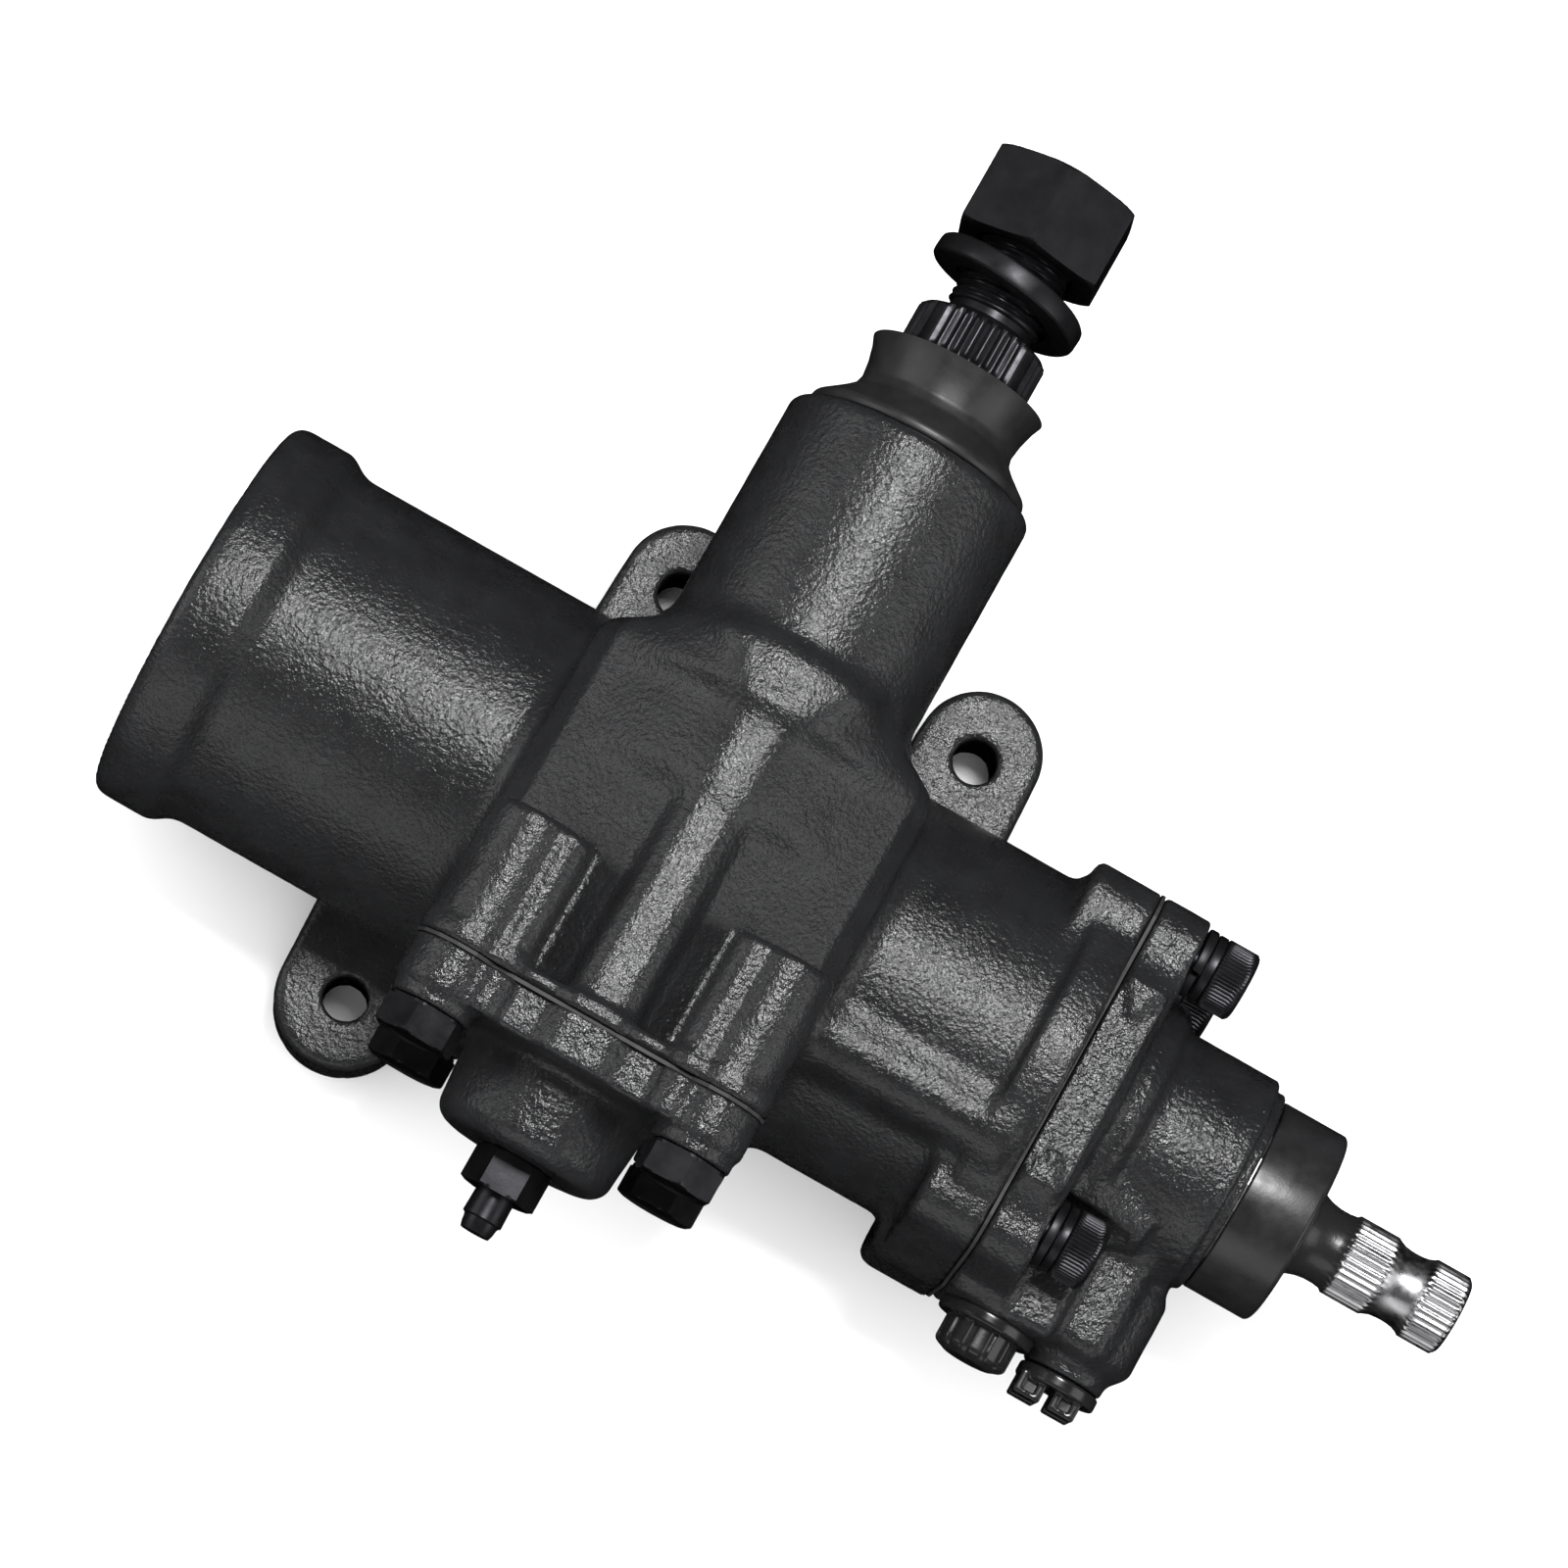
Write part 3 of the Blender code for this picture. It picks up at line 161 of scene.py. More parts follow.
class Nodes:
    """A short way to write a material's nodes."""

    def __init__(self, name):
        self.material = bpy.data.materials.new(name)
        self.material.use_nodes = True
        self.tree = self.material.node_tree
        self.shader = self.tree.nodes["Principled BSDF"]

    def add(self, kind, **inputs):
        node = self.tree.nodes.new(kind)
        for key, value in inputs.items():
            socket = node.inputs[key]
            if isinstance(value, bpy.types.NodeSocket):
                self.tree.links.new(value, socket)
            else:
                socket.default_value = value
        return node

    def place(self):
        return self.add("ShaderNodeTexCoord").outputs["Object"]

    def noise(self, size, detail=3.0, rough=0.55, stretch=None):
        """Noise with spots about `size` mm across."""
        vector = self.place()
        if stretch:
            mapping = self.add("ShaderNodeMapping", Vector=vector, Scale=stretch)
            vector = mapping.outputs[0]
        node = self.add("ShaderNodeTexNoise", Vector=vector, Scale=1000.0 / size, Detail=detail)
        node.inputs["Roughness"].default_value = rough
        return node.outputs["Fac"]

    def cells(self, size, smooth=0.6):
        node = self.tree.nodes.new("ShaderNodeTexVoronoi")
        node.feature = "SMOOTH_F1"
        self.tree.links.new(self.place(), node.inputs["Vector"])
        node.inputs["Scale"].default_value = 1000.0 / size
        node.inputs["Smoothness"].default_value = smooth
        return node.outputs["Distance"]

    def math(self, operation, a, b):
        node = self.tree.nodes.new("ShaderNodeMath")
        node.operation = operation
        for socket, value in zip(node.inputs, (a, b)):
            if isinstance(value, bpy.types.NodeSocket):
                self.tree.links.new(value, socket)
            else:
                socket.default_value = value
        return node.outputs[0]

    def span(self, value, low, high, start=0.3, end=0.7):
        node = self.add("ShaderNodeMapRange")
        self.tree.links.new(value, node.inputs["Value"])
        for key, number in (("From Min", start), ("From Max", end), ("To Min", low), ("To Max", high)):
            node.inputs[key].default_value = number
        return node.outputs["Result"]

    def colours(self, value, first, last, start=0.3, end=0.7):
        node = self.add("ShaderNodeValToRGB", Fac=value)
        ramp = node.color_ramp.elements
        ramp[0].position = start
        ramp[1].position = end
        ramp[0].color = (*first, 1)
        ramp[1].color = (*last, 1)
        return node.outputs["Color"]

    def set(self, **inputs):
        for key, value in inputs.items():
            socket = self.shader.inputs[key.replace("_", " ")]
            if isinstance(value, bpy.types.NodeSocket):
                self.tree.links.new(value, socket)
            else:
                socket.default_value = value
        return self

    def bump(self, *layers):
        """Layers of (height, how many mm it stands)."""
        normal = None
        for height, depth in layers:
            node = self.add("ShaderNodeBump", Height=height, Distance=depth * MM, Strength=1.0)
            if normal:
                self.tree.links.new(normal, node.inputs["Normal"])
            normal = node.outputs["Normal"]
        self.tree.links.new(normal, self.shader.inputs["Normal"])
        return self


def cast_paint(name, grain, depth, rough):
    """Black paint over a sand casting: each grain of sand stands out and glitters."""
    m = Nodes(name)
    sand = m.noise(grain, 2.5, 0.6)
    fine = m.noise(grain * 0.45, 2.0)
    pits = m.cells(grain * 1.6)
    m.set(Base_Color=m.colours(m.noise(9.0, 4.0), (0.0085, 0.0086, 0.0092), (0.0125, 0.0128, 0.0136)))
    m.set(Roughness=m.span(m.noise(5.0, 3.0), rough - 0.04, rough + 0.06), Specular_IOR_Level=0.5)
    m.bump((pits, depth * 0.45), (sand, depth), (fine, depth * 0.3))
    return m.material


def metal(name, first, last, rough, grain, depth, metallic=1.0, stretch=None):
    """A metal with uneven sheen, and marks that `stretch` draws out along or round it."""
    m = Nodes(name)
    m.set(Base_Color=m.colours(m.noise(6.0, 4.0), first, last), Metallic=metallic)
    fine = m.noise(grain, 4.0, 0.6, stretch)
    m.set(Roughness=m.span(m.noise(3.5, 3.0), rough - 0.06, rough + 0.08))
    m.bump((fine, depth), (m.noise(grain * 6, 2.0), depth * 1.5))
    return m.material


def plain(name, first, last, rough, grain, depth):
    """Rubber, plastic or smooth paint with a fine, slightly uneven skin."""
    m = Nodes(name)
    m.set(Base_Color=m.colours(m.noise(8.0, 4.0), first, last))
    m.set(Roughness=m.span(m.noise(4.0, 4.0), rough - 0.05, rough + 0.09))
    m.bump((m.noise(grain, 3.0), depth), (m.noise(grain * 7, 2.0), depth * 2))
    return m.material


def input_steel():
    """Bright serrated steel, with black paint that ends unevenly at the shaft's root."""
    m = Nodes("input_steel")
    turning = m.noise(0.5, 3.0, 0.6, (9.0, 1.0, 1.0))
    m.set(Base_Color=(0.62, 0.62, 0.635, 1), Metallic=1.0)
    m.set(Roughness=m.span(m.noise(2.5, 4.0), 0.24, 0.42))
    m.bump((turning, 0.02))
    along = m.add("ShaderNodeSeparateXYZ", Vector=m.place()).outputs["X"]
    ragged = m.math("ADD", along, m.math("MULTIPLY", m.noise(1.6, 3.0), 0.0022))
    paint = m.add("ShaderNodeBsdfPrincipled", Roughness=0.3)
    paint.inputs["Base Color"].default_value = (0.011, 0.011, 0.0115, 1)
    grain = m.add("ShaderNodeBump", Height=m.noise(0.9, 4.0), Distance=0.00005, Strength=1.0)
    m.tree.links.new(grain.outputs["Normal"], paint.inputs["Normal"])
    edge = m.span(ragged, 0.0, 1.0, (173.7 + SHIFT[0]) * MM, (174.0 + SHIFT[0]) * MM)
    mix = m.add("ShaderNodeMixShader", Fac=edge)
    m.tree.links.new(paint.outputs[0], mix.inputs[1])
    m.tree.links.new(m.shader.outputs[0], mix.inputs[2])
    m.tree.links.new(mix.outputs[0], m.tree.nodes["Material Output"].inputs["Surface"])
    return m.material


CAST = cast_paint("cast_black_paint", 0.95, 0.26, 0.24)
CAST_ROUGH = cast_paint("cast_black_paint_rough", 1.15, 0.36, 0.2)
CAP_PAINT = plain("satin_cap_paint", (0.008, 0.008, 0.0085), (0.014, 0.014, 0.015), 0.3, 0.6, 0.015)
RUBBER = plain("boot_rubber", (0.009, 0.009, 0.009), (0.014, 0.014, 0.014), 0.4, 0.7, 0.012)
PLASTIC = plain("cap_plastic", (0.007, 0.007, 0.007), (0.01, 0.01, 0.01), 0.2, 1.2, 0.01)
SEAL = plain("seal_rubber", (0.012, 0.012, 0.012), (0.02, 0.02, 0.02), 0.55, 0.5, 0.02)
OXIDE = metal("black_oxide", (0.016, 0.016, 0.018), (0.03, 0.03, 0.033), 0.34, 0.5, 0.015, 0.85)
OXIDE_SATIN = metal("black_oxide_satin", (0.018, 0.018, 0.02), (0.027, 0.027, 0.029), 0.36, 0.45, 0.01, 0.8)
STEEL = metal("ground_steel", (0.42, 0.42, 0.43), (0.55, 0.55, 0.56), 0.3, 0.6, 0.01, 1.0, (1.0, 6.0, 6.0))
BRONZE = metal("bushing_bronze", (0.45, 0.29, 0.12), (0.56, 0.38, 0.17), 0.36, 0.6, 0.01)
INPUT = input_steel()


# ---------------------------------------------------------------- making pieces


def made(name, points, faces, material, nodes, body, slot, sharp=32):
    """A piece from points in mm, in the place of CAD nodes."""
    mesh = bpy.data.meshes.new(name)
    mesh.from_pydata(((np.asarray(points) + SHIFT) * MM).tolist(), [], faces)
    bm = bmesh.new()
    bm.from_mesh(mesh)
    bmesh.ops.recalc_face_normals(bm, faces=bm.faces)
    bm.to_mesh(mesh)
    bm.free()
    mesh.shade_smooth()
    if sharp:
        mesh.set_sharp_from_angle(angle=math.radians(sharp))
    mesh.materials.append(material)
    piece = bpy.data.objects.new(name, mesh)
    bpy.context.scene.collection.objects.link(piece)
    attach(piece, body)
    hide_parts(*nodes)
    return piece


def carved(name, field, low, high, step, material, nodes, body, slot, uneven=0.0, sharp=0):
    """The surface where a distance field is zero, each point then moved exactly onto it."""
    axes = [np.arange(a - 2 * step, b + 2.5 * step, step) for a, b in zip(low, high)]
    grid_points = np.meshgrid(*axes, indexing="ij", sparse=True)
    values = np.ascontiguousarray(np.broadcast_to(field(grid_points), [len(a) for a in axes]), np.float32)
    values = np.clip(values, -3 * step, 3 * step)
    grid = openvdb.FloatGrid(3 * step)
    grid.copyFromArray(values)
    points, quads = grid.convertToQuads(0.0)
    points = np.asarray(points, float) * step + [a[0] for a in axes]

    def full(p):
        distance = field(p)
        return distance + uneven * lumps(p, 11.0) if uneven else distance

    probe = 0.04
    for _ in range(2):
        p = list(points.T)
        value = full(p)
        slope = []
        for i in range(3):
            ahead = list(p)
            behind = list(p)
            ahead[i] = p[i] + probe
            behind[i] = p[i] - probe
            slope.append((full(ahead) - full(behind)) / (2 * probe))
        slope = np.array(slope)
        length = np.maximum(np.sqrt((slope**2).sum(0)), 0.5)
        points = points - (np.clip(value / length, -step, step) * slope / length).T
    return made(name, points, np.asarray(quads).tolist(), material, nodes, body, slot, sharp)


def soften(profile, radius, steps=3):
    """Rounds each inner corner of a profile of (radius, station) points."""
    out = [profile[0]]
    for i in range(1, len(profile) - 1):
        before, here, after = (Vector(profile[n][:2]) for n in (i - 1, i, i + 1))
        first, last = before - here, after - here
        reach = min(radius, first.length * 0.45, last.length * 0.45)
        if reach < 1e-4 or first.angle(last, math.pi) > math.radians(172):
            out.append(profile[i])
            continue
        a = here + first.normalized() * reach
        b = here + last.normalized() * reach
        for n in range(steps + 1):
            t = n / steps
            point = a * (1 - t) ** 2 + here * 2 * t * (1 - t) + b * t * t
            out.append((point.x, point.y))
    out.append(profile[-1])
    return out


def spun(axis, at, profile, sides=96, shape=None, ring=False, spin=0.0):
    """Points and faces of a turned form. `shape` gives the radius at each angle, for teeth and flats."""
    angles = np.arange(sides) * 2 * math.pi / sides
    points = []
    rings = []
    for radius, station in profile:
        start = len(points)
        if radius < 1e-6:
            rings.append([start])
            local = np.array([[0.0, 0.0, station]])
        else:
            rings.append(list(range(start, start + sides)))
            r = shape(angles, radius, station) if shape else np.full(sides, radius)
            turned = angles + spin
            local = np.stack([r * np.cos(turned), r * np.sin(turned), np.full(sides, station)], 1)
        order = {"X": (2, 0, 1), "Y": (1, 2, 0), "Z": (0, 1, 2)}[axis]
        points += list(local[:, order] + np.array(at))
    faces = []
    pairs = list(zip(rings, rings[1:]))
    if ring:
        pairs.append((rings[-1], rings[0]))
    for a, b in pairs:
        for i in range(sides):
            k = (i + 1) % sides
            if len(a) > 1 and len(b) > 1:
                faces.append((a[i], a[k], b[k], b[i]))
            elif len(b) > 1:
                faces.append((a[0], b[k], b[i]))
            elif len(a) > 1:
                faces.append((a[i], a[k], b[0]))
    return points, faces


def hexagon(flats, corner=0.0):
    """Shape of a hexagonal bar, cut back where the profile's radius is smaller."""

    def shape(angles, radius, station):
        local = (angles + math.pi / 6) % (math.pi / 3) - math.pi / 6
        return np.minimum(flats / 2 / np.cos(local) - corner, radius)

    # The flats' middles lie at angle 0, 60 and so on
    return shape


def teeth(count, depth, start, end, land=0.45, blind=(), lead_in=0.8):
    """Shape of serrations between two stations, with a lead-in at each end."""

    def shape(angles, radius, station):
        inside = np.clip(min(station - start, end - station) / lead_in, 0, 1)
        phase = angles * count / (2 * math.pi)
        wave = np.abs(phase % 1 - 0.5) * 2
        gap = np.clip((land + 0.35 - wave) / 0.35, 0, 1)
        for tooth in blind:
            gap = np.where(np.abs(phase % count - tooth) < 0.5, 0, gap)
        return radius - depth * gap * inside

    return shape


def thread(pitch, depth, start, end):
    """Shape of a right-hand thread between two stations."""

    def shape(angles, radius, station):
        inside = np.clip(min(station - start, end - station) / pitch, 0, 1)
        phase = (station / pitch - angles / (2 * math.pi)) % 1
        return radius - depth * inside * np.clip(1.15 - np.abs(phase - 0.5) * 2.6, 0, 1)

    return shape


def stations(radius, start, end, step):
    count = max(2, round(abs(end - start) / step))
    return [(radius, start + (end - start) * i / count) for i in range(count + 1)]


def spring_washer(axis, at, outer, inner, half, rise, gap, steps=88, tilt=None):
    """A split ring whose ends lie `rise` apart, with its gap at an angle in degrees."""
    section = soften([(inner, -half), (outer, -half), (outer, half), (inner, half), (inner, -half)], half * 0.5)
    section = section[:-1] if section[0] == section[-1] else section
    points = []
    for i in range(steps + 1):
        share = i / steps
        angle = math.radians(gap + 4 + 352 * share)
        for r, s in section:
            local = Vector((r * math.cos(angle), r * math.sin(angle), s + rise * (share - 0.5)))
            if tilt:
                local.rotate(tilt)
            order = {"X": (2, 0, 1), "Y": (1, 2, 0)}[axis]
            points.append([local[n] + at[m] for m, n in enumerate(order)])
    count = len(section)
    faces = [tuple(range(count)), tuple(range(steps * count, (steps + 1) * count))]
    for i in range(steps):
        for k in range(count):
            m = (k + 1) % count
            faces.append((i * count + k, i * count + m, (i + 1) * count + m, (i + 1) * count + k))
    return points, faces


# ---------------------------------------------------------------- cast housings


def cover_plan(x, z):
    """Outline shared by the cover and the block's end, with a bulge beside each bolt and a ridge between."""
    side = np.abs(x)
    plan = polygon(side, z, [(-5.0, 62.5), (36.5, 62.5), (36.5, 131.0), (-5.0, 131.0)]) - 2.2
    ridge = np.hypot(np.maximum(side - 4.5, 0), np.maximum(z - 131.0, 0)) - 4.8
    plan = smin(plan, np.maximum(ridge, 100.0 - z), 2.0)
    plan = smin(plan, np.hypot(side - 22.4, z - 130.9) - 5.4, 1.0)
    for bolt_z in (69.0, 127.0):
        plan = smin(plan, np.hypot(side - 31.7, z - bolt_z) - 10.1, 1.4)
    return plan


def chamber_block(p):
    """The sector chamber: a facet on each side of a rounded ridge that flares into the tube."""
    x, y, z = p
    half = [(41.5, 40.0), (41.5, 106.0), (37.0, 113.0), (11.0, 126.0)]
    outline = half + [(-u, v) for u, v in reversed(half)]
    sides = polygon(x, z, inset(outline, 3.5)) - 3.5
    shoulder = y - 39.0 + 3.6 * (x / 41.5) ** 2
    block = smax(smax(sides, shoulder, 6.5), COVER_FACE - 3 - y, 0.5)
    share = np.clip((y + 48.0) / 86.0, 0, 1)
    front = 134.6 - 5.2 * share
    width = 7.0 + 9.0 * np.clip((y - 20.0) / 20.0, 0, 1) ** 2
    ridge = np.hypot(np.maximum(np.abs(x) - width + 4.5, 0), np.maximum(z - front + 6.0, 0)) - 6.0
    ridge = np.maximum(ridge, 100.0 - z)
    return smin(block, smax(ridge, np.abs(y + 4.0) - 46.0, 4.0), 4.5)


def bolt_column(p, side, row, top):
    """A column over a cover bolt, with a lower bulge on its inner side."""
    at = (side * 31.4, 0, 98.0 + row * 29.0)
    column = rod(p, "Y", at, COVER_FACE - 4, top, 10.2, 1.8)
    if row > 0:
        bulge = rod(p, "Y", (side * 22.9, 0, 130.2), COVER_FACE - 4, top - 0.4, 5.6, 1.6)
        web = rod(p, "Y", (side * 26.5, 0, 124.0), COVER_FACE - 4, top, 8.6, 1.8)
        column = smin(column, smin(bulge, web, 2.0), 1.2)
    return column


def housing_field(p):
    x, y, z = p
    barrel = rod(p, "X", WORM, -121, 96.25, 44.0, 0.8)
    band = rod(p, "X", WORM, -124.8, -109.4, 46.6, 2.6)
    barrel = smin(barrel, band, 6.5)
    block = chamber_block(p)
    tube = rod(p, "Y", SECTOR, 8, 99.4, 29.9, 2.6)
    collar = cone(p, "Y", SECTOR, 30.0, 43.0, 33.0, 30.0, 2.0)
    body = smin(block, smin(tube, collar, 4.0), 8.0)
    saddle = slab(p, (-22, 22, 22), (22, 41, 96), 4.0)
    body = smin(smin(body, saddle, 8.0), barrel, 6.5)
    for side in (-1, 1):
        for row, top in ((1, -15.4), (-1, -18.5)):
            body = smin(body, bolt_column(p, side, row, top), 2.2)
    land = capped(cover_plan(x, z), np.abs(y - COVER_FACE) - 3.4, 0.8)
    body = smin(body, land, 2.6)
    body = smin(body, prism(p, "X", flange_corners(-51.3), 80.2, 101.0, 9.3, 2.0), 4.0)
    foot = [(-41.5, 22.5), (-22.0, 22.5), (-22.0, 46.0), (-41.5, 46.0)]
    body = smin(body, prism(p, "X", foot, 78.2, 101.0, 9.3, 2.0), 4.0)
    ring = rod(p, "X", WORM, 85.9, 101.0, 46.9, 1.4)
    body = smin(body, ring, 3.0)
    rib = cone(p, "X", (0, -19.5, 83.6), 36.0, 92.0, 8.6, 7.8, 1.0)
    body = smin(body, rib, 4.0)
    for hx, hy, beyond, radius in LUGS:
        inner = hy - math.copysign(34, hy)
        end = hy + math.copysign(beyond, hy)
        tongue = prism(p, "Z", [(hx - 1.5, inner), (hx + 1.5, inner), (hx, end)], -3.0, 19.8, radius, 2.2)
        body = smin(body, tongue, 7.0)
    return body


def housing_cuts(p):
    """Bores, chamber and holes, and the room for the side cover."""
    bore = rod(p, "X", WORM, -150, 64.0, 38.5, 0)
    bore = np.minimum(bore, rod(p, "X", WORM, 60.0, 120.0, 33.5, 0))
    bore = np.minimum(bore, rod(p, "X", WORM, -150.0, -109.5, 40.5, 0))
    bore = np.minimum(bore, rod(p, "X", WORM, -121.6, -118.4, 42.5, 0))
    bore = np.minimum(bore, cone(p, "X", WORM, -126.0, -123.7, 42.6, 40.3, 0))
    lower = np.maximum(rod(p, "Y", SECTOR, -60, 22.0, 32.5, 0), p[2] - 104.0)
    upper = rod(p, "Y", SECTOR, -60, 22.0, 26.0, 0)
    shaft = rod(p, "Y", SECTOR, 18, 120.0, 19.3, 0)
    cuts = np.minimum(np.minimum(bore, lower), np.minimum(upper, shaft))
    for hx, hy, _, _ in LUGS:
        cuts = np.minimum(cuts, rod(p, "Z", (hx, hy, 0), -10, 30, 5.25, 0))
        cuts = np.minimum(cuts, cone(p, "Z", (hx, hy, 0), 19.0, 20.6, 5.2, 6.4, 0))
    for bx, bz in COVER_BOLTS:
        deep = -27.5 if bz > 98 else -38.0
        cuts = np.minimum(cuts, rod(p, "Y", (bx, 0, bz), -60, deep, 4.5, 0))
    for by, bz in VALVE_BOLTS:
        cuts = np.minimum(cuts, rod(p, "X", (0, by, bz), 83.5, 110, 4.5, 0))
    return np.minimum(cuts, slab(p, (-70, -110, 25), (70, COVER_FACE - 0.1, 160), 0))


def whole_housing(p):
    """The casting with its machined faces at the valve side, the pads and the front, and its bores."""
    outside = housing_field(p)
    outside = np.maximum(np.maximum(outside, p[0] - 96.05), 0.06 - p[2])
    outside = np.maximum(np.maximum(outside, p[2] - 137.45), -124.98 - p[0])
    return smax(outside, -housing_cuts(p), 0.5)


def flange_corners(bottom):
    """Corner centres of the flange round the worm bore, in Y and Z."""
    low = bottom + 9.5
    return [(low, 22.5), (37.4, 23.0), (37.4, 73.0), (-35.9, 73.0), (low, 52.0)]


def valve_field(p):
    flange = prism(p, "X", flange_corners(-51.0), 97.3, 109.4, 9.4, 1.4)
    ring = rod(p, "X", WORM, 97.3, 107.8, 45.6, 1.8)
    neck = rod(p, "X", WORM, 104.0, 117.4, 31.6, 4.0)
    barrel = rod(p, "X", WORM, 104.0, 141.4, 27.0, 1.0)
    lip = rod(p, "X", WORM, 130.0, 144.0, 24.9, 0.7)
    body = smin(smin(flange, ring, 3.0), neck, 4.0)
    body = smin(smin(body, barrel, 3.0), lip, 0.8)
    left = slab(p, (97.6, -51.7, 31.6), (122.8, -12, 63.4), 2.4)
    right = slab(p, (110.0, -50.4, 33.2), (136.2, -14, 59.8), 4.0)
    pipe = rod(p, "Y", (RETURN[0], 0, RETURN[2]), RETURN[1] + 0.1, -22.0, 9.8, 1.0)
    side = rod(p, "Y", (RETURN[0] + 2.0, 0, RETURN[2] + 1), -50.4, -28.0, 11.3, 3.5)
    nose = rod(p, "Y", (PRESSURE[0], 0, PRESSURE[2]), PRESSURE[1] + 0.1, -30.0, 12.4, 1.2)
    ports = smin(smin(left, right, 3.0), smin(pipe, side, 4.0), 3.0)
    ports = smin(ports, nose, 2.0)
    body = smin(body, ports, 4.0)
    gusset = cone(p, "X", (0, -19.0, 63.5), 104.0, 130.0, 12.5, 6.0, 1.0)
    return smin(body, gusset, 3.0)


def whole_valve_housing(p):
    """The valve casting with its spigot, bores, ports and the room round its screws."""
    body = np.maximum(valve_field(p), 97.38 - p[0])
    spigot = rod(p, "X", WORM, 84.0, 104.0, 33.1, 1.0)
    body = np.minimum(body, spigot)
    cuts = rod(p, "X", WORM, 90.0, 160.0, 22.2, 0)
    cuts = np.minimum(cuts, rod(p, "X", WORM, 70.0, 92.0, 14.0, 0))
    for x, face, z, bore in ((*PRESSURE, 8.0), (*RETURN, 7.0)):
        cuts = np.minimum(cuts, rod(p, "Y", (x, 0, z), face - 5, face + 15, bore, 0))
        cuts = np.minimum(cuts, rod(p, "Y", (x, 0, z), face + 10, -10.0, 3.0, 0))
    for y, z in VALVE_BOLTS:
        cuts = np.minimum(cuts, rod(p, "X", (0, y, z), 90.0, 115.0, 5.3, 0))
        cuts = np.minimum(cuts, rod(p, "X", (0, y, z), 109.0, 127.0, 9.9, 0.5))
    return smax(body, -cuts, 0.6)


def cover_field(p):
    """Plate with bolt pads, a domed middle, and a pilot that enters the block."""
    plate = capped(cover_plan(p[0], p[2]), np.abs(p[1] + 52.0) - 7.2, 1.2)
    plate = np.maximum(plate, p[1] + 49.42)
    dome = cone(p, "Y", SECTOR, -78.6, -56.0, 20.6, 22.6, 4.2)
    body = smin(plate, dome, 3.0)
    crown = cone(p, "Y", SECTOR, -77.0, -60.0, 14.0, 21.0, 3.0)
    body = smin(body, crown, 2.0)
    for bx, bz in COVER_BOLTS:
        body = smin(body, rod(p, "Y", (bx, 0, bz), -62.8, -54.0, 9.5, 0.6), 1.6)
    pilot = rod(p, "Y", SECTOR, -52.0, -45.3, 24.0, 0.4)
    body = np.minimum(body, pilot)
    cuts = rod(p, "Y", SECTOR, -73.6, -40.0, 18.6, 0)
    cuts = np.minimum(cuts, rod(p, "Y", SECTOR, -85.0, -70.0, 5.1, 0))
    for bx, bz in COVER_BOLTS:
        cuts = np.minimum(cuts, rod(p, "Y", (bx, 0, bz), -70, -40, 5.4, 0))
    return smax(body, -cuts, 0.5)


STEP = 1.15
carved(
    "housing_casting", whole_housing, (-125.1, -74.2, 0), (96.1, 99.5, 137.6), STEP, CAST,
    ["gear_housing"], "housing", "cast_black", 0.04,
)
carved(
    "valve_housing_casting", whole_valve_housing, (84, -56, 13.4), (144.1, 47, 83), 0.62 * STEP, CAST_ROUGH,
    ["valve_housing"], "housing", "cast_black", 0.04,
)
carved(
    "side_cover_casting", cover_field, (-42.4, -78.8, 58), (42.4, -45, 137.6), 0.62 * STEP, CAST_ROUGH,
    ["side_cover"], "housing", "cast_black", 0.04,
)


# ---------------------------------------------------------------- bolts, nuts and washers


def cover_bolt(number, at, spin, tip):
    """Hexagon bolt with a washer face, a chamfered and dished head and a threaded shank."""
    seat = -59.3 - 3.6 - 0.25
    top = seat - 7.4
    crown = [(10.6, seat - 0.7), (10.6, top + 1.4), (9.9, top + 0.8), (9.2, top + 0.35), (8.4, top + 0.05)]
    head = [(0, tip), (3.4, tip), (4.1, tip - 0.8), *stations(4.1, tip - 1.2, seat + 1, 6)]
    head += [(4.1, seat), (8.9, seat), (8.9, seat - 0.6), *crown, (7.6, top), (7.0, top + 0.5), (0, top + 0.6)]
    points, faces = spun("Y", at, head, 96, hexagon(16.9, 0.25), spin=spin)
    name = f"side_cover_bolt_{number}"
    return made("cover_bolt_" + str(number), points, faces, OXIDE, [name], "housing", "black_steel", 25)


for number, (bx, bz) in enumerate(COVER_BOLTS, 1):
    tip = -29.0 if bz > 98 else -39.5
    cover_bolt(number, (bx, 0, bz), math.radians((17, 38, 8, -12)[number - 1]), tip)


def socket_bolt(number, at):
    """Socket-head screw with a knurled head."""
    seat = 109.0 + 0.3 + 2.5 + 0.25
    top = seat + 10.4
    knurl = teeth(60, 0.4, seat + 2.6, top - 1.3, 0.4)
    side = [(8.1, seat + 0.4), (8.1, seat + 2.0), (7.7, seat + 2.3)]
    side += stations(8.25, seat + 2.6, top - 0.9, 0.6)
    outer = [(0, 84.8), (3.6, 84.8), (4.2, 85.6), (4.2, seat), (7.9, seat), *side, (7.6, top - 0.2), (7.0, top)]
    inner = [(5.0, top), (4.5, top - 0.5)]
    points, faces = spun("X", at, outer + inner, 240, knurl)
    pocket = [(4.5, top - 0.5), (4.5, top - 4.0), (0, top - 4.6)]
    socket_points, socket_faces = spun("X", at, pocket, 240, hexagon(7.8), spin=0.3)
    # The two forms share the ring at the socket's mouth
    keep = len(points)
    base = keep - 240
    faces += [tuple((i + base) if i < 240 else (i - 240 + keep) for i in face) for face in socket_faces]
    points += socket_points[240:]
    name = f"valve_bolt_{number}"
    return made("valve_screw_" + str(number), points, faces, OXIDE, [name], "housing", "black_steel", 28)


